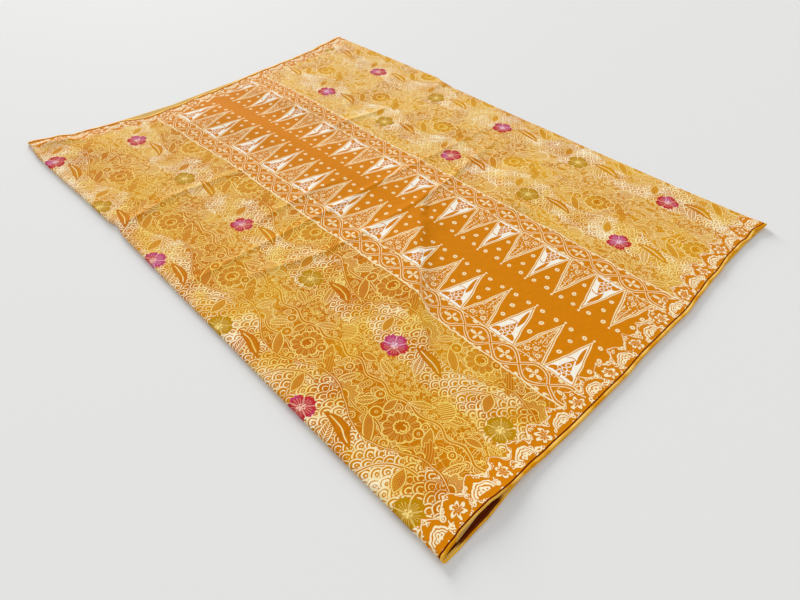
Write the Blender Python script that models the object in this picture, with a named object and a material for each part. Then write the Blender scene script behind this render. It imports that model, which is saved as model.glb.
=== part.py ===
"""Ceremonial sarong: one length of batik cotton, folded in three and laid flat.

Metres, +Z up. The origin is the middle of the folded cloth's underside, on the surface that it lies on.
X runs across the cloth from its far hem to its near hem. Y runs from the front fold to the back fold.
From the bottom up, the layers are the bottom flap, the middle flap and the top panel. The front fold joins
the bottom flap to the top panel, and the back fold joins the top panel to the middle flap.
"""

import math
from typing import NamedTuple

import bmesh
import bpy
import numpy

# Driving sizes
CLOTH_WIDTH = 1.05
FOLDED_DEPTH = 0.74
THICKNESS = 0.001
LAYER_GAP = 0.0007

# Where the two flaps end, as distances along Y
BOTTOM_FLAP_END = 0.345
MIDDLE_FLAP_END = -0.350

# Mid-heights of the three layers where they lie flat
BOTTOM = THICKNESS / 2
MIDDLE = BOTTOM + THICKNESS + LAYER_GAP
TOP = MIDDLE + THICKNESS + LAYER_GAP

# Steps of the mesh: across the cloth on each side of the storage crease, and along the folded section
STEPS_FAR_OF_CREASE = 24
STEPS_NEAR_OF_CREASE = 26
STEPS_BOTTOM = 7
STEPS_TOP = 33
STEPS_MIDDLE = 7
STEPS_FRONT_TURN = 5
STEPS_BACK_TURN = 4

# Steps in which a table of crowding is added up before the mesh's lines are placed by it
FINE_STEPS = 400

# How far inland a hem's own line bends the cloth, and how far a fold's puffed edge reaches
HEM_REACH = 0.30
PUFF_REACH = 0.030

# How a crease's flanks fall from its crest: 2 is round, 1 is sharp
CREST_POWER = 1.3

# The storage crease pressed across the cloth
CREASE_X = 0.0288
CREASE_HEIGHT = 0.0018
CREASE_FROM = -0.355
CREASE_TO = 0.345

SHARP_ANGLE = math.radians(50)


class HemRow(NamedTuple):
    """Where the three layers' hems lie on one line across the folds."""

    y: float
    top: float
    middle: float
    bottom: float


class EdgeRow(NamedTuple):
    """Where a fold's outer edge lies, and how high the top panel rises over it."""

    x: float
    y: float
    rise: float


class Bulge(NamedTuple):
    """A soft swelling of the top panel."""

    x: float
    y: float
    reach_x: float
    reach_y: float
    turn: float
    height: float


class CrestRow(NamedTuple):
    """One point on the crest of a crease, with its height there."""

    x: float
    y: float
    height: float


class Crease(NamedTuple):
    """A crease of the top panel: its crest, and how wide its flanks are to the left and right of it."""

    left: float
    right: float
    crest: tuple[CrestRow, ...]


class CrowdRow(NamedTuple):
    """How closely the mesh's lines stand at one place."""

    at: float
    crowding: float


NEAR_HEM = (
    HemRow(y=-0.372, top=0.5240, middle=0.5252, bottom=0.5268),
    HemRow(y=-0.352, top=0.5217, middle=0.5224, bottom=0.5274),
    HemRow(y=-0.338, top=0.5192, middle=0.5197, bottom=0.5265),
    HemRow(y=-0.322, top=0.5184, middle=0.5186, bottom=0.5256),
    HemRow(y=-0.300, top=0.5192, middle=0.5192, bottom=0.5259),
    HemRow(y=-0.286, top=0.5211, middle=0.5208, bottom=0.5242),
    HemRow(y=-0.262, top=0.5228, middle=0.5226, bottom=0.5232),
    HemRow(y=-0.240, top=0.5234, middle=0.5230, bottom=0.5232),
    HemRow(y=-0.205, top=0.5262, middle=0.5266, bottom=0.5268),
    HemRow(y=-0.153, top=0.5290, middle=0.5286, bottom=0.5284),
    HemRow(y=-0.098, top=0.5300, middle=0.5296, bottom=0.5294),
    HemRow(y=-0.054, top=0.5311, middle=0.5305, bottom=0.5304),
    HemRow(y=-0.016, top=0.5297, middle=0.5292, bottom=0.5290),
    HemRow(y=0.051, top=0.5308, middle=0.5303, bottom=0.5301),
    HemRow(y=0.095, top=0.5324, middle=0.5318, bottom=0.5316),
    HemRow(y=0.145, top=0.5287, middle=0.5282, bottom=0.5280),
    HemRow(y=0.178, top=0.5262, middle=0.5258, bottom=0.5254),
    HemRow(y=0.200, top=0.5267, middle=0.5263, bottom=0.5259),
    HemRow(y=0.250, top=0.5226, middle=0.5222, bottom=0.5218),
    HemRow(y=0.289, top=0.5224, middle=0.5219, bottom=0.5215),
    HemRow(y=0.310, top=0.5250, middle=0.5246, bottom=0.5240),
    HemRow(y=0.334, top=0.5230, middle=0.5226, bottom=0.5220),
    HemRow(y=0.358, top=0.5284, middle=0.5278, bottom=0.5265),
    HemRow(y=0.372, top=0.5284, middle=0.5275, bottom=0.5255),
)

FAR_HEM = (
    HemRow(y=-0.372, top=-0.5160, middle=-0.5180, bottom=-0.5240),
    HemRow(y=-0.327, top=-0.5090, middle=-0.5080, bottom=-0.5130),
    HemRow(y=-0.296, top=-0.4930, middle=-0.4940, bottom=-0.4950),
    HemRow(y=-0.219, top=-0.4840, middle=-0.4880, bottom=-0.4860),
    HemRow(y=-0.165, top=-0.4625, middle=-0.4760, bottom=-0.4740),
    HemRow(y=-0.091, top=-0.4640, middle=-0.4810, bottom=-0.4790),
    HemRow(y=-0.027, top=-0.4730, middle=-0.4890, bottom=-0.4870),
    HemRow(y=0.037, top=-0.4800, middle=-0.4880, bottom=-0.4850),
    HemRow(y=0.132, top=-0.4920, middle=-0.4900, bottom=-0.4870),
    HemRow(y=0.196, top=-0.4980, middle=-0.4960, bottom=-0.4920),
    HemRow(y=0.260, top=-0.5040, middle=-0.5020, bottom=-0.4980),
    HemRow(y=0.324, top=-0.5170, middle=-0.5150, bottom=-0.5080),
    HemRow(y=0.380, top=-0.5290, middle=-0.5280, bottom=-0.5150),
)

FRONT_EDGE = (
    EdgeRow(x=-0.525, y=-0.3735, rise=0.0030),
    EdgeRow(x=-0.460, y=-0.3780, rise=0.0022),
    EdgeRow(x=-0.192, y=-0.3705, rise=0.0026),
    EdgeRow(x=-0.166, y=-0.3655, rise=0.0034),
    EdgeRow(x=-0.130, y=-0.3700, rise=0.0024),
    EdgeRow(x=0.064, y=-0.3710, rise=0.0020),
    EdgeRow(x=0.320, y=-0.3720, rise=0.0026),
    EdgeRow(x=0.525, y=-0.3720, rise=0.0018),
)

BACK_EDGE = (
    EdgeRow(x=-0.525, y=0.3790, rise=0.0010),
    EdgeRow(x=-0.256, y=0.3815, rise=0.0014),
    EdgeRow(x=-0.192, y=0.3820, rise=0.0018),
    EdgeRow(x=-0.160, y=0.3735, rise=0.0026),
    EdgeRow(x=-0.128, y=0.3700, rise=0.0012),
    EdgeRow(x=0.064, y=0.3660, rise=0.0008),
    EdgeRow(x=0.256, y=0.3620, rise=0.0010),
    EdgeRow(x=0.383, y=0.3615, rise=0.0008),
    EdgeRow(x=0.479, y=0.3620, rise=0.0016),
    EdgeRow(x=0.525, y=0.3640, rise=0.0030),
)

# Swellings of the top panel alone
BULGES = (
    Bulge(x=-0.290, y=-0.044, reach_x=0.190, reach_y=0.036, turn=0.08, height=0.0070),
    Bulge(x=-0.300, y=0.085, reach_x=0.170, reach_y=0.038, turn=0.05, height=0.0050),
    Bulge(x=-0.060, y=-0.060, reach_x=0.100, reach_y=0.070, turn=0.10, height=0.0030),
    Bulge(x=0.050, y=0.050, reach_x=0.100, reach_y=0.090, turn=-0.30, height=0.0030),
    Bulge(x=-0.380, y=0.150, reach_x=0.130, reach_y=0.120, turn=0.50, height=0.0030),
    Bulge(x=-0.420, y=-0.110, reach_x=0.090, reach_y=0.080, turn=0.00, height=0.0034),
    Bulge(x=-0.440, y=-0.310, reach_x=0.070, reach_y=0.050, turn=-0.60, height=0.0045),
    Bulge(x=-0.440, y=0.330, reach_x=0.110, reach_y=0.060, turn=0.20, height=0.0028),
    Bulge(x=-0.060, y=0.260, reach_x=0.100, reach_y=0.080, turn=0.80, height=0.0022),
    Bulge(x=-0.250, y=-0.250, reach_x=0.090, reach_y=0.070, turn=-0.40, height=0.0026),
    Bulge(x=0.190, y=0.150, reach_x=0.070, reach_y=0.050, turn=-1.10, height=0.0030),
    Bulge(x=0.330, y=0.080, reach_x=0.110, reach_y=0.050, turn=-0.10, height=0.0024),
    Bulge(x=0.060, y=-0.260, reach_x=0.080, reach_y=0.060, turn=0.30, height=0.0020),
    Bulge(x=0.300, y=-0.300, reach_x=0.110, reach_y=0.050, turn=0.10, height=0.0018),
)

# The near corner, where the middle flap and the top panel stand off the bottom flap together
CORNER_LIFT = Bulge(x=0.540, y=-0.298, reach_x=0.080, reach_y=0.047, turn=0.0, height=0.0055)
LIFT_CLEARANCE = 1.12

# Creases of the top panel: the pucker first, then the pressed ones
CREASES = (
    Crease(
        left=0.014,
        right=0.060,
        crest=(
            CrestRow(x=0.117, y=0.004, height=0.0015),
            CrestRow(x=0.155, y=-0.020, height=0.0070),
            CrestRow(x=0.186, y=-0.058, height=0.0085),
            CrestRow(x=0.224, y=-0.090, height=0.0080),
            CrestRow(x=0.258, y=-0.128, height=0.0062),
            CrestRow(x=0.297, y=-0.163, height=0.0045),
            CrestRow(x=0.329, y=-0.194, height=0.0028),
            CrestRow(x=0.376, y=-0.206, height=0.0008),
        ),
    ),
    Crease(
        left=0.009,
        right=0.010,
        crest=(
            CrestRow(x=0.0735, y=0.2475, height=0.0014),
            CrestRow(x=0.090, y=0.161, height=0.0022),
            CrestRow(x=0.103, y=0.1005, height=0.0024),
            CrestRow(x=0.113, y=0.011, height=0.0020),
            CrestRow(x=0.112, y=-0.091, height=0.0014),
            CrestRow(x=0.104, y=-0.183, height=0.0020),
            CrestRow(x=0.088, y=-0.238, height=0.0022),
            CrestRow(x=0.0735, y=-0.290, height=0.0008),
        ),
    ),
    Crease(
        left=0.010,
        right=0.010,
        crest=(
            CrestRow(x=-0.178, y=0.388, height=0.0045),
            CrestRow(x=-0.160, y=0.343, height=0.0022),
            CrestRow(x=-0.150, y=0.300, height=0.0006),
        ),
    ),
    Crease(
        left=0.010,
        right=0.010,
        crest=(
            CrestRow(x=-0.165, y=0.236, height=0.0006),
            CrestRow(x=-0.166, y=0.168, height=0.0026),
            CrestRow(x=-0.172, y=0.131, height=0.0028),
            CrestRow(x=-0.176, y=0.080, height=0.0020),
            CrestRow(x=-0.168, y=0.030, height=0.0008),
        ),
    ),
    Crease(
        left=0.010,
        right=0.010,
        crest=(
            CrestRow(x=-0.160, y=-0.090, height=0.0006),
            CrestRow(x=-0.168, y=-0.150, height=0.0018),
            CrestRow(x=-0.174, y=-0.225, height=0.0022),
            CrestRow(x=-0.176, y=-0.264, height=0.0030),
            CrestRow(x=-0.168, y=-0.310, height=0.0030),
            CrestRow(x=-0.155, y=-0.365, height=0.0036),
        ),
    ),
    Crease(
        left=0.014,
        right=0.012,
        crest=(
            CrestRow(x=0.143, y=0.2085, height=0.0008),
            CrestRow(x=0.183, y=0.140, height=0.0026),
            CrestRow(x=0.220, y=0.1165, height=0.0034),
            CrestRow(x=0.253, y=0.124, height=0.0036),
            CrestRow(x=0.293, y=0.113, height=0.0032),
            CrestRow(x=0.341, y=0.103, height=0.0008),
        ),
    ),
    Crease(
        left=0.016,
        right=0.014,
        crest=(
            CrestRow(x=-0.520, y=0.060, height=0.0008),
            CrestRow(x=-0.440, y=0.048, height=0.0026),
            CrestRow(x=-0.340, y=0.060, height=0.0020),
            CrestRow(x=-0.260, y=0.075, height=0.0006),
        ),
    ),
)

# How closely the mesh's columns stand across the cloth, and its rows over the top panel
COLUMN_CROWDING = (
    CrowdRow(at=-0.525, crowding=3.2),
    CrowdRow(at=-0.490, crowding=1.1),
    CrowdRow(at=-0.200, crowding=1.0),
    CrowdRow(at=-0.188, crowding=3.2),
    CrowdRow(at=-0.152, crowding=3.2),
    CrowdRow(at=-0.140, crowding=1.0),
    CrowdRow(at=0.010, crowding=1.0),
    CrowdRow(at=0.020, crowding=3.4),
    CrowdRow(at=0.038, crowding=3.4),
    CrowdRow(at=0.050, crowding=1.6),
    CrowdRow(at=0.120, crowding=2.0),
    CrowdRow(at=0.310, crowding=1.7),
    CrowdRow(at=0.360, crowding=1.0),
    CrowdRow(at=0.490, crowding=1.1),
    CrowdRow(at=0.525, crowding=3.0),
)

ROW_CROWDING = (
    CrowdRow(at=-0.370, crowding=3.0),
    CrowdRow(at=-0.335, crowding=1.2),
    CrowdRow(at=-0.215, crowding=1.2),
    CrowdRow(at=-0.190, crowding=1.9),
    CrowdRow(at=0.000, crowding=2.0),
    CrowdRow(at=0.020, crowding=1.3),
    CrowdRow(at=0.100, crowding=1.5),
    CrowdRow(at=0.140, crowding=1.5),
    CrowdRow(at=0.180, crowding=0.9),
    CrowdRow(at=0.330, crowding=1.1),
    CrowdRow(at=0.370, crowding=3.0),
)

FLAP_CROWDING = (
    CrowdRow(at=0.0, crowding=1.0),
    CrowdRow(at=0.8, crowding=1.0),
    CrowdRow(at=1.0, crowding=3.0),
)

CLOTH_COLOUR = (0.66, 0.34, 0.07, 1.0)
CLOTH_ROUGHNESS = 0.85


def clear_scene() -> None:
    """Remove every object that the file opens with."""
    for item in list(bpy.data.objects):
        bpy.data.objects.remove(item, do_unlink=True)


def smooth(share: float) -> float:
    """Ease a share from 0 to 1."""
    share = min(max(share, 0.0), 1.0)
    return share * share * (3.0 - 2.0 * share)


def read(rows, at_column: str, value_column: str, at: float) -> float:
    """Read a column of a table between its rows, with soft turns at each row."""
    if at <= getattr(rows[0], at_column):
        return getattr(rows[0], value_column)
    for low, high in zip(rows, rows[1:]):
        start, end = getattr(low, at_column), getattr(high, at_column)
        if at <= end:
            share = smooth((at - start) / (end - start))
            first, last = getattr(low, value_column), getattr(high, value_column)
            return first + (last - first) * share
    return getattr(rows[-1], value_column)


def column_of(rows, name: str) -> list[float]:
    """One column of a table of rows."""
    return [getattr(row, name) for row in rows]


def spaced(start: float, end: float, steps: int, crowding) -> list[float]:
    """Places from one end of a run to the other, closest where a table says."""
    fine = numpy.linspace(start, end, FINE_STEPS + 1)
    close = numpy.interp(fine, column_of(crowding, "at"), column_of(crowding, "crowding"))
    count = numpy.concatenate([[0.0], numpy.cumsum(close[1:] + close[:-1])])
    return numpy.interp(numpy.linspace(0.0, count[-1], steps + 1), count, fine).tolist()


def swelling(bulge: Bulge, x: float, y: float) -> float:
    """Height of one bulge at a place on the cloth."""
    across, along = x - bulge.x, y - bulge.y
    cosine, sine = math.cos(bulge.turn), math.sin(bulge.turn)
    long_way = (across * cosine + along * sine) / bulge.reach_x
    short_way = (along * cosine - across * sine) / bulge.reach_y
    return bulge.height * math.exp(-(long_way * long_way + short_way * short_way))


def ridge(crease: Crease, x: float, y: float) -> float:
    """Height of one crease at a place on the cloth, from the nearest point of its crest."""
    best = 0.0
    for low, high in zip(crease.crest, crease.crest[1:]):
        run_x, run_y = high.x - low.x, high.y - low.y
        length_squared = run_x * run_x + run_y * run_y
        share = ((x - low.x) * run_x + (y - low.y) * run_y) / length_squared
        share = min(max(share, 0.0), 1.0)
        off_x, off_y = x - low.x - share * run_x, y - low.y - share * run_y
        flank = crease.left if run_x * off_y > run_y * off_x else crease.right
        away = math.hypot(off_x, off_y) / flank
        height = low.height + (high.height - low.height) * share
        best = max(best, height * math.exp(-(away**CREST_POWER)))
    return best


def storage_crease(x: float, y: float) -> float:
    """Height of the pressed crease, which is one column of the mesh wide."""
    on_crease = abs(x - CREASE_X) < THICKNESS and CREASE_FROM < y < CREASE_TO
    return CREASE_HEIGHT if on_crease else 0.0


def middle_height(x: float, y: float) -> float:
    """Mid-height of the middle flap."""
    return MIDDLE + swelling(CORNER_LIFT, x, y)


def top_height(x: float, y: float) -> float:
    """Mid-height of the top panel, with its bulges, its creases and the puffed edges at its folds."""
    from_front = y - read(FRONT_EDGE, "x", "y", x)
    from_back = read(BACK_EDGE, "x", "y", x) - y
    front_share = math.exp(-((from_front / PUFF_REACH) ** 2))
    back_share = math.exp(-((from_back / PUFF_REACH) ** 2))
    inland = smooth(min(from_front, from_back) / PUFF_REACH)
    soft = sum(swelling(bulge, x, y) for bulge in BULGES)
    soft += sum(ridge(crease, x, y) for crease in CREASES) + storage_crease(x, y)
    edges = read(FRONT_EDGE, "x", "rise", x) * front_share + read(BACK_EDGE, "x", "rise", x) * back_share
    return TOP + soft * inland + edges + swelling(CORNER_LIFT, x, y) * LIFT_CLEARANCE


def hem_to_hem(nominal_x: float, y: float, layer: str) -> float:
    """Shift a place on the straight cloth so that its two hems follow their own lines."""
    half = CLOTH_WIDTH / 2
    far_share = max(0.0, 1.0 - (nominal_x + half) / HEM_REACH)
    near_share = max(0.0, 1.0 - (half - nominal_x) / HEM_REACH)
    far_shift = read(FAR_HEM, "y", layer, y) + half
    near_shift = read(NEAR_HEM, "y", layer, y) - half
    return nominal_x + far_shift * far_share + near_shift * near_share


def front_turn_radius(x: float) -> float:
    """Mid-surface radius of the front fold."""
    edge = read(FRONT_EDGE, "x", "y", x)
    return (top_height(x, edge) - BOTTOM) / 2


def back_turn_radius(x: float) -> float:
    """Mid-surface radius of the back fold."""
    edge = read(BACK_EDGE, "x", "y", x)
    return (top_height(x, edge) - middle_height(x, edge)) / 2


def bottom_point(nominal_x: float, share: float) -> tuple[float, float, float]:
    """A point of the bottom flap, from its free end to the front fold."""
    end = read(FRONT_EDGE, "x", "y", nominal_x) + front_turn_radius(nominal_x)
    y = BOTTOM_FLAP_END + (end - BOTTOM_FLAP_END) * share
    return hem_to_hem(nominal_x, y, "bottom"), y, BOTTOM


def top_point(nominal_x: float, share: float) -> tuple[float, float, float]:
    """A point of the top panel, from the front fold to the back fold."""
    start = read(FRONT_EDGE, "x", "y", nominal_x) + front_turn_radius(nominal_x)
    end = read(BACK_EDGE, "x", "y", nominal_x) - back_turn_radius(nominal_x)
    y = start + (end - start) * share
    return hem_to_hem(nominal_x, y, "top"), y, top_height(nominal_x, y)


def middle_point(nominal_x: float, share: float) -> tuple[float, float, float]:
    """A point of the middle flap, from the back fold to its free end."""
    start = read(BACK_EDGE, "x", "y", nominal_x) - back_turn_radius(nominal_x)
    y = start + (MIDDLE_FLAP_END - start) * share
    return hem_to_hem(nominal_x, y, "middle"), y, middle_height(nominal_x, y)


def turn_point(first, last, radius: float, outward: float, share: float) -> tuple[float, float, float]:
    """A point of a fold's round edge, between the ends of the two layers that it joins."""
    angle = math.pi * share
    x = first[0] + (last[0] - first[0]) * share
    y = (first[1] + last[1]) / 2 + outward * radius * math.sin(angle)
    z = first[2] + (last[2] - first[2]) * (1.0 - math.cos(angle)) / 2
    return x, y, z


def folded_section(nominal_x: float) -> list[tuple[float, float, float]]:
    """The points of one section across the folds, from the bottom flap's end to the middle flap's."""
    half = FOLDED_DEPTH / 2
    top_shares = [(y + half) / FOLDED_DEPTH for y in spaced(-half, half, STEPS_TOP, ROW_CROWDING)]
    bottom_shares = spaced(0.0, 1.0, STEPS_BOTTOM, FLAP_CROWDING)
    middle_shares = [1.0 - share for share in reversed(spaced(0.0, 1.0, STEPS_MIDDLE, FLAP_CROWDING))]
    bottom = [bottom_point(nominal_x, share) for share in bottom_shares]
    top = [top_point(nominal_x, share) for share in top_shares]
    middle = [middle_point(nominal_x, share) for share in middle_shares]
    front = [
        turn_point(bottom[-1], top[0], front_turn_radius(nominal_x), -1.0, step / STEPS_FRONT_TURN)
        for step in range(1, STEPS_FRONT_TURN)
    ]
    back = [
        turn_point(top[-1], middle[0], back_turn_radius(nominal_x), 1.0, step / STEPS_BACK_TURN)
        for step in range(1, STEPS_BACK_TURN)
    ]
    return bottom + front + top + back + middle


def columns() -> list[float]:
    """Places across the straight cloth, from the far hem over the storage crease to the near hem."""
    half = CLOTH_WIDTH / 2
    far = spaced(-half, CREASE_X, STEPS_FAR_OF_CREASE, COLUMN_CROWDING)
    near = spaced(CREASE_X, half, STEPS_NEAR_OF_CREASE, COLUMN_CROWDING)
    return far + near[1:]


def cloth_material() -> bpy.types.Material:
    """Plain yellow-orange cotton."""
    material = bpy.data.materials.new("batik cotton")
    material.use_nodes = True
    shader = material.node_tree.nodes["Principled BSDF"]
    shader.inputs["Base Color"].default_value = CLOTH_COLOUR
    shader.inputs["Roughness"].default_value = CLOTH_ROUGHNESS
    shader.inputs["Metallic"].default_value = 0.0
    material.diffuse_color = CLOTH_COLOUR
    return material


def make_sarong() -> bpy.types.Object:
    """Fold a flat grid along its sections and give it the cloth's thickness."""
    sections = [folded_section(x) for x in columns()]
    steps_across, steps_along = len(sections) - 1, len(sections[0]) - 1
    shape = bmesh.new()
    bmesh.ops.create_grid(shape, x_segments=steps_across, y_segments=steps_along, size=0.5)
    for vertex in shape.verts:
        column = round((vertex.co.x + 0.5) * steps_across)
        row = round((vertex.co.y + 0.5) * steps_along)
        vertex.co = sections[column][row]
    bmesh.ops.recalc_face_normals(shape, faces=shape.faces)
    mesh = bpy.data.meshes.new("sarong")
    shape.to_mesh(mesh)
    shape.free()
    mesh.shade_smooth()
    mesh.set_sharp_from_angle(angle=SHARP_ANGLE)
    mesh.materials.append(cloth_material())
    sarong = bpy.data.objects.new("sarong", mesh)
    bpy.context.scene.collection.objects.link(sarong)
    wall = sarong.modifiers.new("cloth thickness", "SOLIDIFY")
    wall.thickness = THICKNESS
    wall.offset = 0.0
    return sarong


def main() -> None:
    """Build the folded sarong."""
    clear_scene()
    make_sarong()


main()
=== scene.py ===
"""Dresses the folded ceremonial sarong: its creased sheet, its wax-resist print, and the studio.

Metres and +Z up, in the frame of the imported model. X runs from the far hem to the near hem, and Y from the
front fold to the back fold. The print is drawn in millimetres of cloth, from the sheet's own UV maps.
"""

import logging
import math
from dataclasses import dataclass
from enum import Enum
from typing import NamedTuple

import bmesh
import bpy
import numpy as np
from mathutils import Matrix, Vector


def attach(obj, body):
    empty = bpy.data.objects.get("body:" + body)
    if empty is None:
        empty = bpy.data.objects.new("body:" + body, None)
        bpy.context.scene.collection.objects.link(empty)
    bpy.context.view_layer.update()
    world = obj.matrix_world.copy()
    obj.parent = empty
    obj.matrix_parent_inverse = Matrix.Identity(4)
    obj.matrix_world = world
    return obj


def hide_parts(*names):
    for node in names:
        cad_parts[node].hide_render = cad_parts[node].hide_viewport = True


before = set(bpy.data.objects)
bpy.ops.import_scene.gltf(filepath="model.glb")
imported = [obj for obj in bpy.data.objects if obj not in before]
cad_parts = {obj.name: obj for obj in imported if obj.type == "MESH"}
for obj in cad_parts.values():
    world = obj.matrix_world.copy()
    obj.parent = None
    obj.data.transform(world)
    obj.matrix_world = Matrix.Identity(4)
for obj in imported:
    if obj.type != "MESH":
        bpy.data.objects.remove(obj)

LOG = logging.getLogger("sarong")
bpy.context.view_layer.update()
MM_PER_METRE = 1000.0
CREST_POWER = 1.3
HEAD_MIDDLE = -18.0

Colour = tuple[float, float, float]
Ink = Colour | bpy.types.NodeSocket


class Layer(Enum):
    """The three layers of the folded cloth, by the column of a hem table that holds their hem."""

    BOTTOM = "bottom"
    MIDDLE = "middle"
    TOP = "top"


class HemRow(NamedTuple):
    """Where the three layers' hems lie on one line across the folds."""

    y: float
    top: float
    middle: float
    bottom: float


class EdgeRow(NamedTuple):
    """Where a fold's outer edge lies, and how high the top panel rises over it."""

    x: float
    y: float
    rise: float


class Bulge(NamedTuple):
    """A soft swelling of the cloth."""

    x: float
    y: float
    reach_x: float
    reach_y: float
    turn: float
    height: float


class CrestRow(NamedTuple):
    """One point on the crest of a crease, with its height there."""

    x: float
    y: float
    height: float


class Crease(NamedTuple):
    """A crease of the top panel: its crest, and how wide its flanks are to the left and right of it."""

    left: float
    right: float
    crest: tuple[CrestRow, ...]


class CrowdRow(NamedTuple):
    """How closely the sheet's columns stand at one place across it."""

    x: float
    crowding: float


class TakeUpRow(NamedTuple):
    """How much cloth the pucker has drawn up at one place, as a share of the most."""

    at: float
    share: float


NEAR_HEM = (
    HemRow(y=-0.372, top=0.5240, middle=0.5252, bottom=0.5268),
    HemRow(y=-0.352, top=0.5217, middle=0.5224, bottom=0.5274),
    HemRow(y=-0.338, top=0.5194, middle=0.5165, bottom=0.5268),
    HemRow(y=-0.322, top=0.5194, middle=0.5150, bottom=0.5268),
    HemRow(y=-0.300, top=0.5202, middle=0.5160, bottom=0.5274),
    HemRow(y=-0.286, top=0.5222, middle=0.5200, bottom=0.5254),
    HemRow(y=-0.262, top=0.5242, middle=0.5226, bottom=0.5232),
    HemRow(y=-0.240, top=0.5248, middle=0.5230, bottom=0.5232),
    HemRow(y=-0.205, top=0.5268, middle=0.5266, bottom=0.5268),
    HemRow(y=-0.153, top=0.5290, middle=0.5286, bottom=0.5284),
    HemRow(y=-0.098, top=0.5300, middle=0.5296, bottom=0.5294),
    HemRow(y=-0.054, top=0.5311, middle=0.5305, bottom=0.5304),
    HemRow(y=-0.016, top=0.5297, middle=0.5292, bottom=0.5290),
    HemRow(y=0.051, top=0.5308, middle=0.5303, bottom=0.5301),
    HemRow(y=0.095, top=0.5324, middle=0.5318, bottom=0.5316),
    HemRow(y=0.145, top=0.5287, middle=0.5282, bottom=0.5280),
    HemRow(y=0.178, top=0.5262, middle=0.5258, bottom=0.5254),
    HemRow(y=0.200, top=0.5267, middle=0.5263, bottom=0.5259),
    HemRow(y=0.250, top=0.5226, middle=0.5222, bottom=0.5218),
    HemRow(y=0.289, top=0.5224, middle=0.5219, bottom=0.5215),
    HemRow(y=0.310, top=0.5250, middle=0.5246, bottom=0.5240),
    HemRow(y=0.334, top=0.5230, middle=0.5226, bottom=0.5220),
    HemRow(y=0.358, top=0.5284, middle=0.5278, bottom=0.5265),
    HemRow(y=0.372, top=0.5284, middle=0.5275, bottom=0.5255),
)

FAR_HEM = (
    HemRow(y=-0.372, top=-0.5160, middle=-0.5180, bottom=-0.5240),
    HemRow(y=-0.327, top=-0.5090, middle=-0.5080, bottom=-0.5130),
    HemRow(y=-0.296, top=-0.4930, middle=-0.4940, bottom=-0.4950),
    HemRow(y=-0.219, top=-0.4840, middle=-0.4880, bottom=-0.4860),
    HemRow(y=-0.165, top=-0.4625, middle=-0.4760, bottom=-0.4740),
    HemRow(y=-0.091, top=-0.4640, middle=-0.4810, bottom=-0.4790),
    HemRow(y=-0.027, top=-0.4730, middle=-0.4890, bottom=-0.4870),
    HemRow(y=0.037, top=-0.4800, middle=-0.4880, bottom=-0.4850),
    HemRow(y=0.132, top=-0.4920, middle=-0.4900, bottom=-0.4870),
    HemRow(y=0.196, top=-0.4980, middle=-0.4960, bottom=-0.4920),
    HemRow(y=0.260, top=-0.5040, middle=-0.5020, bottom=-0.4980),
    HemRow(y=0.324, top=-0.5170, middle=-0.5150, bottom=-0.5080),
    HemRow(y=0.380, top=-0.5290, middle=-0.5280, bottom=-0.5150),
)

FRONT_EDGE = (
    EdgeRow(x=-0.525, y=-0.3735, rise=0.0030),
    EdgeRow(x=-0.460, y=-0.3780, rise=0.0022),
    EdgeRow(x=-0.192, y=-0.3705, rise=0.0026),
    EdgeRow(x=-0.166, y=-0.3655, rise=0.0034),
    EdgeRow(x=-0.130, y=-0.3700, rise=0.0024),
    EdgeRow(x=0.064, y=-0.3710, rise=0.0020),
    EdgeRow(x=0.320, y=-0.3720, rise=0.0026),
    EdgeRow(x=0.525, y=-0.3720, rise=0.0018),
)

BACK_EDGE = (
    EdgeRow(x=-0.525, y=0.3790, rise=0.0010),
    EdgeRow(x=-0.256, y=0.3815, rise=0.0014),
    EdgeRow(x=-0.192, y=0.3820, rise=0.0018),
    EdgeRow(x=-0.160, y=0.3735, rise=0.0026),
    EdgeRow(x=-0.128, y=0.3700, rise=0.0012),
    EdgeRow(x=0.064, y=0.3660, rise=0.0008),
    EdgeRow(x=0.256, y=0.3620, rise=0.0010),
    EdgeRow(x=0.383, y=0.3615, rise=0.0008),
    EdgeRow(x=0.479, y=0.3620, rise=0.0016),
    EdgeRow(x=0.525, y=0.3640, rise=0.0030),
)

BULGES = (
    Bulge(x=-0.290, y=-0.044, reach_x=0.190, reach_y=0.036, turn=0.08, height=0.0070),
    Bulge(x=-0.300, y=0.085, reach_x=0.170, reach_y=0.038, turn=0.05, height=0.0050),
    Bulge(x=-0.060, y=-0.060, reach_x=0.100, reach_y=0.070, turn=0.10, height=0.0030),
    Bulge(x=0.050, y=0.050, reach_x=0.100, reach_y=0.090, turn=-0.30, height=0.0030),
    Bulge(x=-0.380, y=0.150, reach_x=0.130, reach_y=0.120, turn=0.50, height=0.0030),
    Bulge(x=-0.420, y=-0.110, reach_x=0.090, reach_y=0.080, turn=0.00, height=0.0034),
    Bulge(x=-0.440, y=-0.310, reach_x=0.070, reach_y=0.050, turn=-0.60, height=0.0045),
    Bulge(x=-0.440, y=0.330, reach_x=0.110, reach_y=0.060, turn=0.20, height=0.0028),
    Bulge(x=-0.060, y=0.260, reach_x=0.100, reach_y=0.080, turn=0.80, height=0.0022),
    Bulge(x=-0.250, y=-0.250, reach_x=0.090, reach_y=0.070, turn=-0.40, height=0.0026),
    Bulge(x=0.190, y=0.150, reach_x=0.070, reach_y=0.050, turn=-1.10, height=0.0030),
    Bulge(x=0.330, y=0.080, reach_x=0.110, reach_y=0.050, turn=-0.10, height=0.0024),
    Bulge(x=0.060, y=-0.260, reach_x=0.080, reach_y=0.060, turn=0.30, height=0.0020),
    Bulge(x=0.300, y=-0.300, reach_x=0.110, reach_y=0.050, turn=0.10, height=0.0018),
)

CORNER_LIFT = Bulge(x=0.540, y=-0.298, reach_x=0.080, reach_y=0.047, turn=0.0, height=0.0055)

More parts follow.
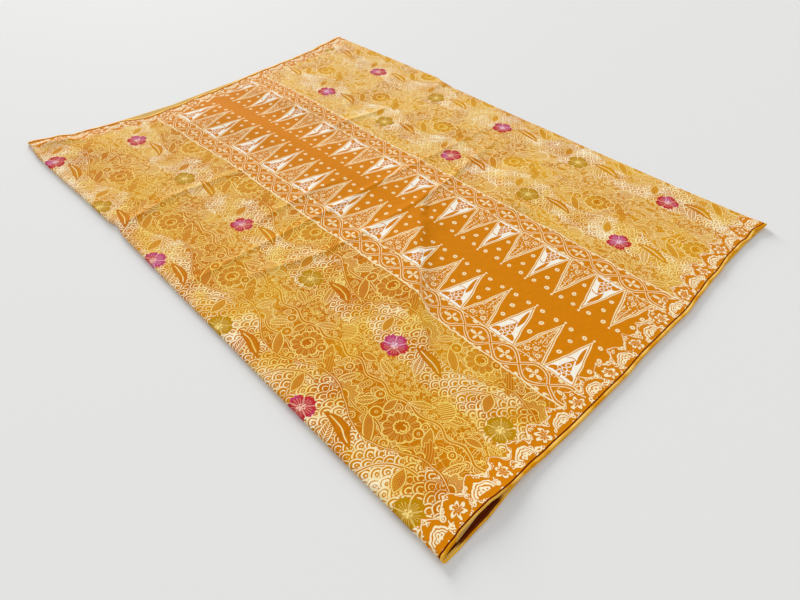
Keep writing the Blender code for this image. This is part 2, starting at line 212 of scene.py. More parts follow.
HEM_CURL = Bulge(x=0.526, y=-0.320, reach_x=0.0035, reach_y=0.030, turn=0.0, height=0.0022)

PUCKER = Crease(
    left=0.0105,
    right=0.060,
    crest=(
        CrestRow(x=0.117, y=0.004, height=0.0015),
        CrestRow(x=0.155, y=-0.020, height=0.0070),
        CrestRow(x=0.186, y=-0.058, height=0.0085),
        CrestRow(x=0.224, y=-0.090, height=0.0080),
        CrestRow(x=0.258, y=-0.128, height=0.0062),
        CrestRow(x=0.297, y=-0.163, height=0.0045),
        CrestRow(x=0.329, y=-0.194, height=0.0028),
        CrestRow(x=0.376, y=-0.206, height=0.0008),
    ),
)

CREASES = (
    PUCKER,
    Crease(
        left=0.0045,
        right=0.0060,
        crest=(
            CrestRow(x=0.0288, y=0.345, height=0.0008),
            CrestRow(x=0.0288, y=0.100, height=0.0016),
            CrestRow(x=0.0288, y=-0.250, height=0.0018),
            CrestRow(x=0.0288, y=-0.355, height=0.0010),
        ),
    ),
    Crease(
        left=0.0055,
        right=0.0075,
        crest=(
            CrestRow(x=0.0650, y=0.290, height=0.0006),
            CrestRow(x=0.0735, y=0.2475, height=0.0014),
            CrestRow(x=0.090, y=0.161, height=0.0022),
            CrestRow(x=0.103, y=0.1005, height=0.0024),
            CrestRow(x=0.113, y=0.011, height=0.0020),
            CrestRow(x=0.112, y=-0.091, height=0.0014),
            CrestRow(x=0.104, y=-0.183, height=0.0020),
            CrestRow(x=0.088, y=-0.238, height=0.0022),
            CrestRow(x=0.0735, y=-0.290, height=0.0008),
        ),
    ),
    Crease(
        left=0.009,
        right=0.009,
        crest=(
            CrestRow(x=-0.178, y=0.388, height=0.0045),
            CrestRow(x=-0.160, y=0.343, height=0.0022),
            CrestRow(x=-0.150, y=0.300, height=0.0006),
        ),
    ),
    Crease(
        left=0.006,
        right=0.008,
        crest=(
            CrestRow(x=-0.165, y=0.236, height=0.0006),
            CrestRow(x=-0.166, y=0.168, height=0.0026),
            CrestRow(x=-0.172, y=0.131, height=0.0028),
            CrestRow(x=-0.176, y=0.080, height=0.0020),
            CrestRow(x=-0.168, y=0.030, height=0.0008),
        ),
    ),
    Crease(
        left=0.006,
        right=0.008,
        crest=(
            CrestRow(x=-0.160, y=-0.090, height=0.0006),
            CrestRow(x=-0.168, y=-0.150, height=0.0018),
            CrestRow(x=-0.174, y=-0.225, height=0.0022),
            CrestRow(x=-0.176, y=-0.264, height=0.0030),
            CrestRow(x=-0.168, y=-0.310, height=0.0030),
            CrestRow(x=-0.155, y=-0.365, height=0.0036),
        ),
    ),
    Crease(
        left=0.005,
        right=0.007,
        crest=(
            CrestRow(x=-0.022, y=-0.022, height=0.0004),
            CrestRow(x=-0.030, y=-0.100, height=0.0024),
            CrestRow(x=-0.027, y=-0.183, height=0.0018),
            CrestRow(x=-0.018, y=-0.230, height=0.0004),
        ),
    ),
    Crease(
        left=0.012,
        right=0.005,
        crest=(
            CrestRow(x=0.143, y=0.2085, height=0.0008),
            CrestRow(x=0.183, y=0.140, height=0.0026),
            CrestRow(x=0.220, y=0.1165, height=0.0034),
            CrestRow(x=0.253, y=0.124, height=0.0036),
            CrestRow(x=0.293, y=0.113, height=0.0032),
            CrestRow(x=0.341, y=0.103, height=0.0008),
        ),
    ),
    Crease(
        left=0.007,
        right=0.004,
        crest=(
            CrestRow(x=-0.152, y=0.030, height=0.0006),
            CrestRow(x=-0.125, y=0.019, height=0.0030),
            CrestRow(x=-0.100, y=0.008, height=0.0006),
        ),
    ),
    Crease(
        left=0.006,
        right=0.0035,
        crest=(
            CrestRow(x=0.148, y=0.008, height=0.0008),
            CrestRow(x=0.165, y=0.002, height=0.0034),
            CrestRow(x=0.190, y=-0.006, height=0.0008),
        ),
    ),
    Crease(
        left=0.012,
        right=0.006,
        crest=(
            CrestRow(x=-0.478, y=-0.290, height=0.0004),
            CrestRow(x=-0.492, y=-0.318, height=0.0050),
            CrestRow(x=-0.500, y=-0.352, height=0.0056),
            CrestRow(x=-0.503, y=-0.372, height=0.0030),
        ),
    ),
    Crease(
        left=0.016,
        right=0.010,
        crest=(
            CrestRow(x=-0.520, y=0.060, height=0.0008),
            CrestRow(x=-0.440, y=0.048, height=0.0026),
            CrestRow(x=-0.340, y=0.060, height=0.0020),
            CrestRow(x=-0.260, y=0.075, height=0.0006),
        ),
    ),
)

COLUMN_CROWDING = (
    CrowdRow(x=-0.525, crowding=1.8),
    CrowdRow(x=-0.500, crowding=1.0),
    CrowdRow(x=-0.200, crowding=1.0),
    CrowdRow(x=-0.185, crowding=2.0),
    CrowdRow(x=-0.155, crowding=2.0),
    CrowdRow(x=-0.140, crowding=1.0),
    CrowdRow(x=-0.040, crowding=1.0),
    CrowdRow(x=-0.027, crowding=1.8),
    CrowdRow(x=-0.015, crowding=1.0),
    CrowdRow(x=0.018, crowding=1.2),
    CrowdRow(x=0.024, crowding=3.2),
    CrowdRow(x=0.034, crowding=3.2),
    CrowdRow(x=0.042, crowding=1.2),
    CrowdRow(x=0.065, crowding=1.9),
    CrowdRow(x=0.118, crowding=1.9),
    CrowdRow(x=0.130, crowding=1.3),
    CrowdRow(x=0.350, crowding=1.1),
    CrowdRow(x=0.500, crowding=1.0),
    CrowdRow(x=0.525, crowding=1.8),
)

TAKEN_UP_ALONG = (
    TakeUpRow(at=-0.215, share=0.0),
    TakeUpRow(at=-0.130, share=1.0),
    TakeUpRow(at=-0.024, share=1.0),
    TakeUpRow(at=0.006, share=0.0),
)

TAKEN_UP_ACROSS = (
    TakeUpRow(at=-0.450, share=-0.35),
    TakeUpRow(at=-0.330, share=0.10),
    TakeUpRow(at=-0.200, share=0.80),
    TakeUpRow(at=0.060, share=0.90),
    TakeUpRow(at=0.150, share=1.0),
)


def column(rows: tuple, name: str) -> np.ndarray:
    """One column of a table of rows."""
    return np.array([getattr(row, name) for row in rows])


def read(rows: tuple, key: str, value: str, at: np.ndarray) -> np.ndarray:
    """Read a table's column between its rows, with soft turns at each row.

    Args:
        rows: the table, in rising order of its key.
        key: the column that is looked up.
        value: the column that is read.
        at: where to read it.

    Returns:
        The values, of the shape of at.
    """
    keys, values = column(rows, key), column(rows, value)
    low = np.clip(np.searchsorted(keys, at) - 1, 0, len(keys) - 2)
    share = np.clip((at - keys[low]) / (keys[low + 1] - keys[low]), 0.0, 1.0)
    share = share * share * (3.0 - 2.0 * share)
    return values[low] + (values[low + 1] - values[low]) * share


def crowded(steps: int, crowding: float) -> np.ndarray:
    """Shares from 0 to 1 that crowd towards both ends."""
    even = np.linspace(0.0, 1.0, steps + 1)
    return even + ((1.0 - np.cos(math.pi * even)) / 2.0 - even) * crowding


def swelling(bulge: Bulge, x: np.ndarray, y: np.ndarray) -> np.ndarray:
    """Height of one bulge over the cloth."""
    across, along = x - bulge.x, y - bulge.y
    cosine, sine = math.cos(bulge.turn), math.sin(bulge.turn)
    long_way = (across * cosine + along * sine) / bulge.reach_x
    short_way = (along * cosine - across * sine) / bulge.reach_y
    return bulge.height * np.exp(-(long_way**2 + short_way**2))


def ridge(crease: Crease, x: np.ndarray, y: np.ndarray) -> np.ndarray:
    """Height of one crease over the cloth, from the nearest point of its crest."""
    best = np.zeros_like(x)
    for low, high in zip(crease.crest, crease.crest[1:]):
        run = np.array([high.x - low.x, high.y - low.y])
        share = ((x - low.x) * run[0] + (y - low.y) * run[1]) / float(run @ run)
        share = np.clip(share, 0.0, 1.0)
        off_x, off_y = x - low.x - share * run[0], y - low.y - share * run[1]
        flank = np.where(run[0] * off_y > run[1] * off_x, crease.left, crease.right)
        away = np.hypot(off_x, off_y) / flank
        height = low.height + (high.height - low.height) * share
        best = np.maximum(best, height * np.exp(-(away**CREST_POWER)))
    return best


@dataclass
class FoldedSheet:
    """The sarong's cloth, folded in three: its sizes, its sections and its mesh."""

    width: float = 1.05
    length: float = 2.19
    thickness: float = 0.0006
    hem_thickness: float = 0.0011
    hem_width: float = 0.005
    bottom: float = 0.00056
    middle: float = 0.0022
    top: float = 0.0039
    bottom_flap_end: float = 0.345
    middle_flap_end: float = -0.350
    hem_reach: float = 0.30
    puff_reach: float = 0.030
    lift_clearance: float = 1.12
    pucker_width: float = 0.014
    most_taken_up: float = 0.015
    crowding: float = 0.55
    steps_across: int = 264
    steps_bottom: int = 22
    steps_top: int = 134
    steps_middle: int = 8
    steps_turn: int = 7

    def top_height(self, x: np.ndarray, y: np.ndarray) -> np.ndarray:
        """Mid-height of the top panel over the cloth."""
        from_front = y - read(FRONT_EDGE, "x", "y", x)
        from_back = read(BACK_EDGE, "x", "y", x) - y
        inland = np.clip(np.minimum(from_front, from_back) / self.puff_reach, 0.0, 1.0)
        inland = inland * inland * (3.0 - 2.0 * inland)
        soft = sum(swelling(bulge, x, y) for bulge in BULGES)
        soft = soft + sum(ridge(crease, x, y) for crease in CREASES)
        front = read(FRONT_EDGE, "x", "rise", x) * np.exp(-((from_front / self.puff_reach) ** 2))
        back = read(BACK_EDGE, "x", "rise", x) * np.exp(-((from_back / self.puff_reach) ** 2))
        lift = swelling(CORNER_LIFT, x, y) * self.lift_clearance
        return self.top + soft * inland + front + back + lift

    def middle_height(self, x: np.ndarray, y: np.ndarray) -> np.ndarray:
        """Mid-height of the middle flap over the cloth."""
        return self.middle + swelling(CORNER_LIFT, x, y)

    def bottom_height(self, x: np.ndarray, y: np.ndarray) -> np.ndarray:
        """Mid-height of the bottom flap over the cloth."""
        return self.bottom + swelling(HEM_CURL, x, y)

    def across(self, nominal: np.ndarray, y: np.ndarray, layer: Layer) -> np.ndarray:
        """Shift places on the straight cloth so that its two hems follow their own lines."""
        half = self.width / 2
        far = np.clip(1.0 - (nominal + half) / self.hem_reach, 0.0, 1.0)
        near = np.clip(1.0 - (half - nominal) / self.hem_reach, 0.0, 1.0)
        far_shift = (read(FAR_HEM, "y", layer.value, y) + half) * far
        near_shift = (read(NEAR_HEM, "y", layer.value, y) - half) * near
        return nominal + far_shift + near_shift

    def run(
        self, layer: Layer, nominal: np.ndarray, start: np.ndarray, end: np.ndarray, steps: int
    ) -> np.ndarray:
        """One layer's points, column by column, between two lines across it.

        Args:
            layer: which layer it is.
            nominal: the columns' places on the straight cloth.
            start: where each column starts along Y.
            end: where each column ends along Y.
            steps: how many steps it takes.

        Returns:
            An array of columns by stations by 3.
        """
        heights = {
            Layer.BOTTOM: self.bottom_height,
            Layer.MIDDLE: self.middle_height,
            Layer.TOP: self.top_height,
        }
        share = crowded(steps, self.crowding)[None, :]
        y = start[:, None] + (end - start)[:, None] * share
        columns = np.broadcast_to(nominal[:, None], y.shape)
        x = self.across(columns, y, layer)
        return np.stack([x, y, heights[layer](columns, y)], axis=2)

    def turn(self, first: np.ndarray, last: np.ndarray, radius: np.ndarray, outward: float) -> np.ndarray:
        """The points of a fold's round edge, between the ends of the two layers that it joins."""
        share = np.linspace(0.0, 1.0, self.steps_turn + 1)[None, 1:-1]
        angle = math.pi * share
        x = first[:, None, 0] + (last - first)[:, None, 0] * share
        y = (first + last)[:, None, 1] / 2 + outward * radius[:, None] * np.sin(angle)
        z = first[:, None, 2] + (last - first)[:, None, 2] * (1.0 - np.cos(angle)) / 2
        return np.stack([x, y, z], axis=2)

    def columns(self) -> np.ndarray:
        """Places across the straight cloth from the far hem to the near one, closest at the creases."""
        half = self.width / 2
        fine = np.linspace(-half, half, 4 * self.steps_across + 1)
        close = np.interp(fine, column(COLUMN_CROWDING, "x"), column(COLUMN_CROWDING, "crowding"))
        count = np.concatenate([[0.0], np.cumsum((close[1:] + close[:-1]) / 2)])
        return np.interp(np.linspace(0.0, count[-1], self.steps_across + 1), count, fine)

    def points(self) -> np.ndarray:
        """Every point of the sheet, from the bottom flap's end to the middle's.

        Returns:
            An array of columns by stations by 3.
        """
        nominal = self.columns()
        front, back = read(FRONT_EDGE, "x", "y", nominal), read(BACK_EDGE, "x", "y", nominal)
        front_radius = (self.top_height(nominal, front) - self.bottom) / 2
        back_radius = (self.top_height(nominal, back) - self.middle_height(nominal, back)) / 2
        ends = np.full_like(nominal, self.bottom_flap_end), np.full_like(nominal, self.middle_flap_end)
        bottom = self.run(Layer.BOTTOM, nominal, ends[0], front + front_radius, self.steps_bottom)
        top = self.run(Layer.TOP, nominal, front + front_radius, back - back_radius, self.steps_top)
        middle = self.run(Layer.MIDDLE, nominal, back - back_radius, ends[1], self.steps_middle)
        front_turn = self.turn(bottom[:, -1], top[:, 0], front_radius, -1.0)
        back_turn = self.turn(top[:, -1], middle[:, 0], back_radius, 1.0)
        return np.concatenate([bottom, front_turn, top, back_turn, middle], axis=1)

    def cloth_places(self, points: np.ndarray) -> np.ndarray:
        """Where each point lies on the cloth: across it as X, and along it from the top panel's middle."""
        steps = np.linalg.norm(np.diff(points, axis=1), axis=2)
        along = np.concatenate([np.zeros((len(points), 1)), np.cumsum(steps, axis=1)], axis=1)
        first = self.steps_bottom + self.steps_turn
        last = first + self.steps_top
        y = points[:, :, 1].copy()
        y[:, :first] = points[:, first : first + 1, 1] - (along[:, first : first + 1] - along[:, :first])
        y[:, last + 1 :] = points[:, last : last + 1, 1] + (along[:, last + 1 :] - along[:, last : last + 1])
        y[:, first : last + 1] -= self.taken_up(points[:, first : last + 1])
        return np.stack([points[:, :, 0], y], axis=2)

    def taken_up(self, points: np.ndarray) -> np.ndarray:
        """How far the pucker has drawn the cloth beside it towards the back fold."""
        x, y = points[:, :, 0], points[:, :, 1]
        crest_y = np.interp(x, column(PUCKER.crest, "x"), column(PUCKER.crest, "y"))
        beside = np.clip((crest_y - y) / self.pucker_width + 0.5, 0.0, 1.0)
        along = read(TAKEN_UP_ALONG, "at", "share", y)
        return self.most_taken_up * beside * along * read(TAKEN_UP_ACROSS, "at", "share", x)

    def hem_places(self, points: np.ndarray) -> np.ndarray:
        """How far each point lies from the near hem and from the far hem."""
        x = points[:, :, 0]
        return np.stack([x[-1:, :] - x, x - x[:1, :]], axis=2)

    def build(self) -> bpy.types.Object:
        """Fold a flat grid along its sections, with its UV maps and its thickness.

        Returns:
            The sheet's object.
        """
        points = self.points()
        steps_across, steps_along = points.shape[0] - 1, points.shape[1] - 1
        shape = bmesh.new()
        bmesh.ops.create_grid(shape, x_segments=steps_across, y_segments=steps_along, size=0.5)
        flat = np.array([vertex.co[:2] for vertex in shape.verts]) + 0.5
        station = np.rint(flat * (steps_across, steps_along)).astype(int)
        places = points[station[:, 0], station[:, 1]]
        for vertex, place in zip(shape.verts, places):
            vertex.co = place
        bmesh.ops.recalc_face_normals(shape, faces=shape.faces)
        mesh = bpy.data.meshes.new("sarong_cloth")
        shape.to_mesh(mesh)
        shape.free()
        corners = np.empty(len(mesh.loops), dtype=np.int32)
        mesh.loops.foreach_get("vertex_index", corners)
        for name, table in (("cloth", self.cloth_places(points)), ("hem", self.hem_places(points))):
            layer = mesh.uv_layers.new(name=name)
            layer.uv.foreach_set("vector", table[station[:, 0], station[:, 1]][corners].ravel())
        mesh.shade_smooth()
        sheet = bpy.data.objects.new("sarong_cloth", mesh)
        bpy.context.scene.collection.objects.link(sheet)
        self.thicken(sheet, self.hem_places(points)[station[:, 0], station[:, 1]])
        return sheet

    def thicken(self, sheet: bpy.types.Object, hem_distance: np.ndarray) -> None:
        """Give the sheet its thickness, more in the turned hems."""
        group = sheet.vertex_groups.new(name="hems")
        in_hem = np.flatnonzero(hem_distance.min(axis=1) < self.hem_width)
        group.add(in_hem.tolist(), 1.0, "REPLACE")
        wall = sheet.modifiers.new("cloth thickness", "SOLIDIFY")
        wall.thickness = self.hem_thickness
        wall.offset = 0.0
        wall.vertex_group = group.name
        wall.thickness_vertex_group = self.thickness / self.hem_thickness


class Field:
    """A number that varies over the cloth, held as the output of a shader node."""

    def __init__(self, tree: bpy.types.NodeTree, socket: bpy.types.NodeSocket) -> None:
        """Keep the node tree and the socket that carries the number."""
        self.tree = tree
        self.socket = socket

    def do(self, operation: str, *others: "Field | float", clamp: bool = False) -> "Field":
        """Feed this number and others to one Math node.

        Args:
            operation: the Math node's operation.
            others: its further inputs.
            clamp: whether the result is held between 0 and 1.

        Returns:
            The node's result.
        """
        node = self.tree.nodes.new("ShaderNodeMath")
        node.operation = operation
        node.use_clamp = clamp
        for pin, value in zip(node.inputs, (self, *others)):
            if isinstance(value, Field):
                self.tree.links.new(value.socket, pin)
            else:
                pin.default_value = value
        return Field(self.tree, node.outputs[0])

    def __add__(self, other: "Field | float") -> "Field":
        """This number plus another."""
        return self.do("ADD", other)

    def __sub__(self, other: "Field | float") -> "Field":
        """This number less another."""
        return self.do("SUBTRACT", other)

    def __mul__(self, other: "Field | float") -> "Field":
        """This number times another."""
        return self.do("MULTIPLY", other)

    def __neg__(self) -> "Field":
        """This number with its sign turned."""
        return self.do("MULTIPLY", -1.0)

    def __abs__(self) -> "Field":
        """This number without its sign."""
        return self.do("ABSOLUTE")

    def scaled(self, factor: "Field | float", added: "Field | float") -> "Field":
        """This number times a factor, plus another number."""
        return self.do("MULTIPLY_ADD", factor, added)

    def least(self, other: "Field | float") -> "Field":
        """The smaller of two numbers."""
        return self.do("MINIMUM", other)

    def most(self, other: "Field | float") -> "Field":
        """The larger of two numbers."""
        return self.do("MAXIMUM", other)

    def without(self, other: "Field | float") -> "Field":
        """This number less another, but never under 0."""
        return self.do("SUBTRACT", other, clamp=True)

    def wrap(self, middle: float, period: float) -> "Field":
        """This number moved by whole periods to within half a period of a middle."""
        return self.do("WRAP", middle + period / 2, middle - period / 2)

    def to_nearest(self, pitch: float) -> "Field":
        """How far this number is from the nearest multiple of a pitch."""
        return self.do("PINGPONG", pitch / 2)

    def over(self, limit: "Field | float") -> "Field":
        """1 where this number is over a limit, and 0 elsewhere."""
        return self.do("GREATER_THAN", limit)

    def under(self, limit: "Field | float") -> "Field":
        """1 where this number is under a limit, and 0 elsewhere."""
        return self.do("LESS_THAN", limit)

    def line(self, at: "Field | float", half_width: float) -> "Field":
        """1 on the line where this number has a value, and 0 elsewhere."""
        return self.do("COMPARE", at, half_width)

    def ramp(self, start: float, end: float) -> "Field":
        """A straight rise from 0 at one value of this number to 1 at another."""
        return self.do("MULTIPLY_ADD", 1.0 / (end - start), -start / (end - start), clamp=True)

    def wave(self, period: float, height: float, added: "Field | float") -> "Field":
        """A sine of this number, with a period and a height, added to another number."""
        return (self * (math.tau / period)).do("SINE").scaled(height, added)

    def mixed(self, other: "Field | float", share: "Field") -> "Field":
        """This number turned into another by a share from 0 to 1."""
        step = other - self if isinstance(other, Field) else self.scaled(-1.0, other)
        return step.scaled(share, self)


def length_of(x: Field, y: Field) -> Field:
    """The distance from the origin of the point that two numbers give."""
    return x.scaled(x, y * y).do("SQRT")


class Print:
    """What every drawing on the cloth needs: its node tree and its textures."""

    def __init__(self, tree: bpy.types.NodeTree) -> None:
        """Keep the node tree that is drawn in."""
        self.tree = tree

    def places(self, uv_map: str) -> tuple[Field, Field]:
        """The two numbers of one of the cloth's UV maps, in millimetres."""
        source = self.tree.nodes.new("ShaderNodeUVMap")
        source.uv_map = uv_map
        parts = self.tree.nodes.new("ShaderNodeSeparateXYZ")
        self.tree.links.new(source.outputs[0], parts.inputs[0])
        return tuple(Field(self.tree, parts.outputs[pin]) * MM_PER_METRE for pin in (0, 1))

    def upper_face(self) -> Field:
        """Where the surface faces up from the cloth's own underside."""
        source = self.tree.nodes.new("ShaderNodeTexCoord")
        parts = self.tree.nodes.new("ShaderNodeSeparateXYZ")
        self.tree.links.new(source.outputs["Normal"], parts.inputs[0])
        return Field(self.tree, parts.outputs[2]).over(0.0)

    def point(self, x: Field, y: Field) -> bpy.types.NodeSocket:
        """The vector that two numbers give."""
        node = self.tree.nodes.new("ShaderNodeCombineXYZ")
        self.tree.links.new(x.socket, node.inputs[0])
        self.tree.links.new(y.socket, node.inputs[1])
        return node.outputs[0]

    def noise(self, at: bpy.types.NodeSocket, size: float, detail: float = 2.0) -> Field:
        """Soft cloudy noise from 0 to 1, with lumps of a size in millimetres."""
        node = self.tree.nodes.new("ShaderNodeTexNoise")
        node.noise_dimensions = "2D"
        node.inputs["Scale"].default_value = 1.0 / size
        node.inputs["Detail"].default_value = detail
        self.tree.links.new(at, node.inputs["Vector"])
        return Field(self.tree, node.outputs[0])

    def cells(self, at: bpy.types.NodeSocket, size: float) -> Field:
        """How far each place is from the middle of its scattered cell, in millimetres."""
        node = self.tree.nodes.new("ShaderNodeTexVoronoi")
        node.voronoi_dimensions = "2D"
        node.inputs["Scale"].default_value = 1.0 / size
        self.tree.links.new(at, node.inputs["Vector"])
        return Field(self.tree, node.outputs["Distance"]) * size

    def mix(self, share: Field, low: Ink, high: Ink) -> bpy.types.NodeSocket:
        """One colour turned into another by a share."""
        node = self.tree.nodes.new("ShaderNodeMix")
        node.data_type = "RGBA"
        self.tree.links.new(share.socket, node.inputs[0])
        for pin, colour in zip((node.inputs[6], node.inputs[7]), (low, high)):
            if isinstance(colour, bpy.types.NodeSocket):
                self.tree.links.new(colour, pin)
            else:
                pin.default_value = (*colour, 1.0)
        return node.outputs[2]


class Stamp(NamedTuple):
    """Where a motif stands in the repeat, how it is turned, and its size, in millimetres and degrees.

    A round motif has no width.
    """

    across: float
    along: float
    turn: float
    length: float
    width: float = 0.0


class Berry(NamedTuple):
    """A ring berry: its middle in the repeat, and the radius of its ring."""

    across: float
    along: float
    radius: float


LEAVES = (
    Stamp(across=45.0, along=-1.0, turn=-62.0, length=43.0, width=13.0),
    Stamp(across=-86.0, along=-42.0, turn=35.0, length=34.0, width=12.0),
    Stamp(across=38.0, along=-84.0, turn=48.0, length=30.0, width=11.0),
    Stamp(across=-42.0, along=-28.0, turn=25.0, length=30.0, width=11.0),
    Stamp(across=20.0, along=-34.0, turn=-20.0, length=30.0, width=12.0),
    Stamp(across=-2.0, along=-78.0, turn=70.0, length=30.0, width=11.0),
    Stamp(across=-76.0, along=-100.0, turn=150.0, length=38.0, width=13.0),
)

DARK_LEAVES = (
    Stamp(across=-33.0, along=19.0, turn=-67.0, length=30.0, width=14.0),
    Stamp(across=68.0, along=-107.0, turn=-42.0, length=46.0, width=13.0),
    Stamp(across=-8.0, along=-38.0, turn=12.0, length=24.0, width=10.0),
    Stamp(across=64.0, along=-70.0, turn=82.0, length=22.0, width=10.0),
    Stamp(across=128.0, along=-72.0, turn=-52.0, length=34.0, width=14.0),
)

POD = Stamp(across=51.0, along=16.0, turn=-11.0, length=54.0, width=13.0)
JAGGED_LEAF = Stamp(across=-34.0, along=-84.0, turn=-50.0, length=46.0, width=24.0)
CALYX = Stamp(across=-61.0, along=-30.0, turn=-35.0, length=28.0)
FAN = Stamp(across=12.0, along=-98.0, turn=8.0, length=40.0)
MEDALLION = Stamp(across=94.0, along=-80.0, turn=20.0, length=43.0)
TENDRIL = Stamp(across=-22.0, along=-12.0, turn=135.0, length=96.0)

BERRIES = (
    Berry(across=58.0, along=-87.0, radius=7.4),
    Berry(across=96.0, along=-108.0, radius=5.4),
    Berry(across=101.0, along=32.0, radius=5.0),
    Berry(across=112.0, along=-104.0, radius=5.0),
    Berry(across=44.0, along=-68.0, radius=6.3),
    Berry(across=136.0, along=-93.0, radius=5.8),
    Berry(across=-52.0, along=-101.0, radius=5.6),
    Berry(across=-14.0, along=-66.0, radius=5.4),
    Berry(across=-62.0, along=-72.0, radius=6.4),
)


@dataclass
class BodyRepeat:
    """The body's repeat: flowers on waves of scales, a band of small fillings and a band of leaves.

    Its places are millimetres across and along the cloth from the middle of a hand-coloured flower.
    """

    art: Print
    width: float = 175.2
    height: float = 145.0
    flower_radius: float = 18.5
    scales_end: float = -16.5
    vine_at: float = -54.0
    cloud_at: float = -105.0
    cloud_sway: float = 15.0
    scale_radius: float = 9.2
    scale_step: float = 7.2
    arc_pitch: float = 4.0
    front_slack: float = 0.07
    front_from: float = -265.0
    front_start: float = 40.0
    back_start_less: float = -85.0
    bend: float = 5.4e-5
    front_stretch: float = 1.082
    back_stretch_less: float = -0.109
    front_along: float = 240.2
    back_along_less: float = -401.7
    cloud_turn: float = 0.68
    row_slope: float = -0.023
    row_slip: float = 12.8
    fillings_lead: float = 120.0

    def place(self, x: Field, y: Field) -> None:
        """Work out where each place of the cloth lies in its repeat.

        Args:
            x: millimetres across the cloth.
            y: millimetres along the cloth.
        """
        y = y.scaled(-1.0, self.front_from).most(0.0).scaled(self.front_slack, y)
        back = y.over(HEAD_MIDDLE)
        start = x + back.scaled(self.back_start_less, self.front_start)
        across = (start * start).scaled(self.bend, start)
        stretch = back.scaled(self.back_stretch_less, self.front_stretch)
        along = y.scaled(stretch, back.scaled(self.back_along_less, self.front_along))
        swing = across.scaled(math.tau / self.width, self.cloud_turn).do("COSINE")
        cloud = swing.scaled(self.cloud_sway, self.cloud_at)
        second_row = (along - cloud).under(0.0).without(back)
        slip = x.scaled(self.row_slope, self.row_slip) * second_row
        self.x, self.y = x, y
        self.across = across + slip
        self.along = along.wrap(self.height / 2 - self.fillings_lead, self.height)
        self.to_cloud = self.along - cloud

    def leaf_edge(self, along: Field, side: Field, at: Stamp) -> Field:
        """How far each place is outside a pointed leaf's two bowed sides."""
        half = at.width / 2
        return (along * along).scaled(half / (at.length / 2) ** 2, side) - half

    def local(self, at: Stamp) -> tuple[Field, Field]:
        """A motif's own axes, along its length and across it."""
        cosine, sine = math.cos(math.radians(at.turn)), math.sin(math.radians(at.turn))
        u = self.across.wrap(at.across, self.width)
        v = self.along.wrap(at.along, self.height)
        along = u.scaled(cosine, v.scaled(sine, -at.across * cosine - at.along * sine))
        side = v.scaled(cosine, u.scaled(-sine, at.across * sine - at.along * cosine))
        return along, side

    def scales(self) -> Field:
        """Wax on the waves of scales: nested arcs in rows, each row over half of the one behind it."""
        radius, step = self.scale_radius, self.scale_step
        height = -self.x
        row_height = height.do("WRAP", radius, radius - step)
        shifted = (height - row_height).scaled(radius / step, self.y)
        aside = shifted.wrap(0.0, 2 * radius)
        front = length_of(aside, row_height)
        behind = length_of(abs(aside).scaled(-1.0, radius), row_height - step)
        arc = behind.mixed(front, front.under(radius))
        at = self.art.point(self.x, self.y)
        arc = self.art.noise(at, 9.0, 1.0).scaled(2.6, arc - (radius - 0.3))
        thick = self.art.noise(at, 38.0, 2.0).scaled(2.2, -0.18)
        return arc.to_nearest(self.arc_pitch).under(thick)

    def fillings(self) -> Field:
        """Wax on the band of small fillings: curls, dots and little rings."""
        at = self.art.point(self.x, self.y)
        curls = self.art.noise(at, 5.4, 0.0).line(0.5, 0.034)
        spots = self.art.cells(at, 6.8)
        return curls.most(spots.line(2.0, 0.40)).most(spots.under(0.6))

    def fruits(self) -> Field:
        """Wax on the band of leaves, between its motifs: rings like small fruits, and fine curls."""
        at = self.art.point(self.x, self.y)
        curls = self.art.noise(at, 8.0, 0.0).line(0.5, 0.016)
        spots = self.art.cells(at, 13.0)
        rings = spots.line(4.6, 0.55).most(spots.line(2.2, 0.35))
        return curls.without(spots.under(5.6)).most(rings)

    def leaf(self, wax: Field, at: Stamp, pitch: float = 3.6, slant: float = 1.1) -> Field:
        """A pointed leaf with an outline, a midrib and slanting veins.

        Args:
            wax: the wax drawn so far.
            at: the leaf's place and size.
            pitch: distance between its veins.
            slant: how much its veins lean forward.

        Returns:
            The wax with the leaf on it.
        """
        along, side = self.local(at)
        side = abs(side)
        edge = self.leaf_edge(along, side, at)
        inside = edge.under(0.0)
        veins = side.scaled(slant, along).to_nearest(pitch).under(0.42).most(side.under(0.5))
        return wax.without(edge.under(1.6)).most(edge.line(0.0, 0.72)).most(veins.least(inside))

    def dark_leaf(self, wax: Field, deep: Field, at: Stamp) -> tuple[Field, Field]:
        """A leaf that is dyed deeper, with its outline in wax and faint veins."""
        along, side = self.local(at)
        side = abs(side)
        edge = self.leaf_edge(along, side, at)
        inside = edge.under(0.0)
        veins = side.scaled(-1.2, along).to_nearest(3.2).under(0.5).least(inside) * 0.4
        return wax.without(edge.under(1.6)).most(edge.line(0.0, 0.72)).most(veins), deep.most(inside * 0.5)

    def pod(self, wax: Field) -> tuple[Field, Field]:
        """A long bent pod, dyed deep, with a light stripe down its middle."""
        along, side = self.local(POD)
        bent = (along * along).scaled(0.0075, side)
        edge = self.leaf_edge(along, abs(bent), POD)
        inside = edge.under(0.0)
        stripe = bent.line(-0.4, 0.8).least(edge.under(-2.4))
        return wax.without(edge.under(1.2)).most(stripe), inside.scaled(0.1, edge.line(-0.4, 1.0) * 0.6)

    def jagged_leaf(self, wax: Field, deep: Field) -> tuple[Field, Field]:
        """A leaf with pointed lobes and faint veins that run with its length."""
        along, side = self.local(JAGGED_LEAF)
        lobes = (along - side).to_nearest(10.0)
        edge = lobes.scaled(0.9, self.leaf_edge(along, abs(side), JAGGED_LEAF))
        inside = edge.under(0.0)
        veins = side.to_nearest(3.2).under(0.5).least(inside) * 0.4
        return wax.without(edge.under(1.6)).most(edge.line(0.0, 0.72)).most(veins), deep.most(inside * 0.5)

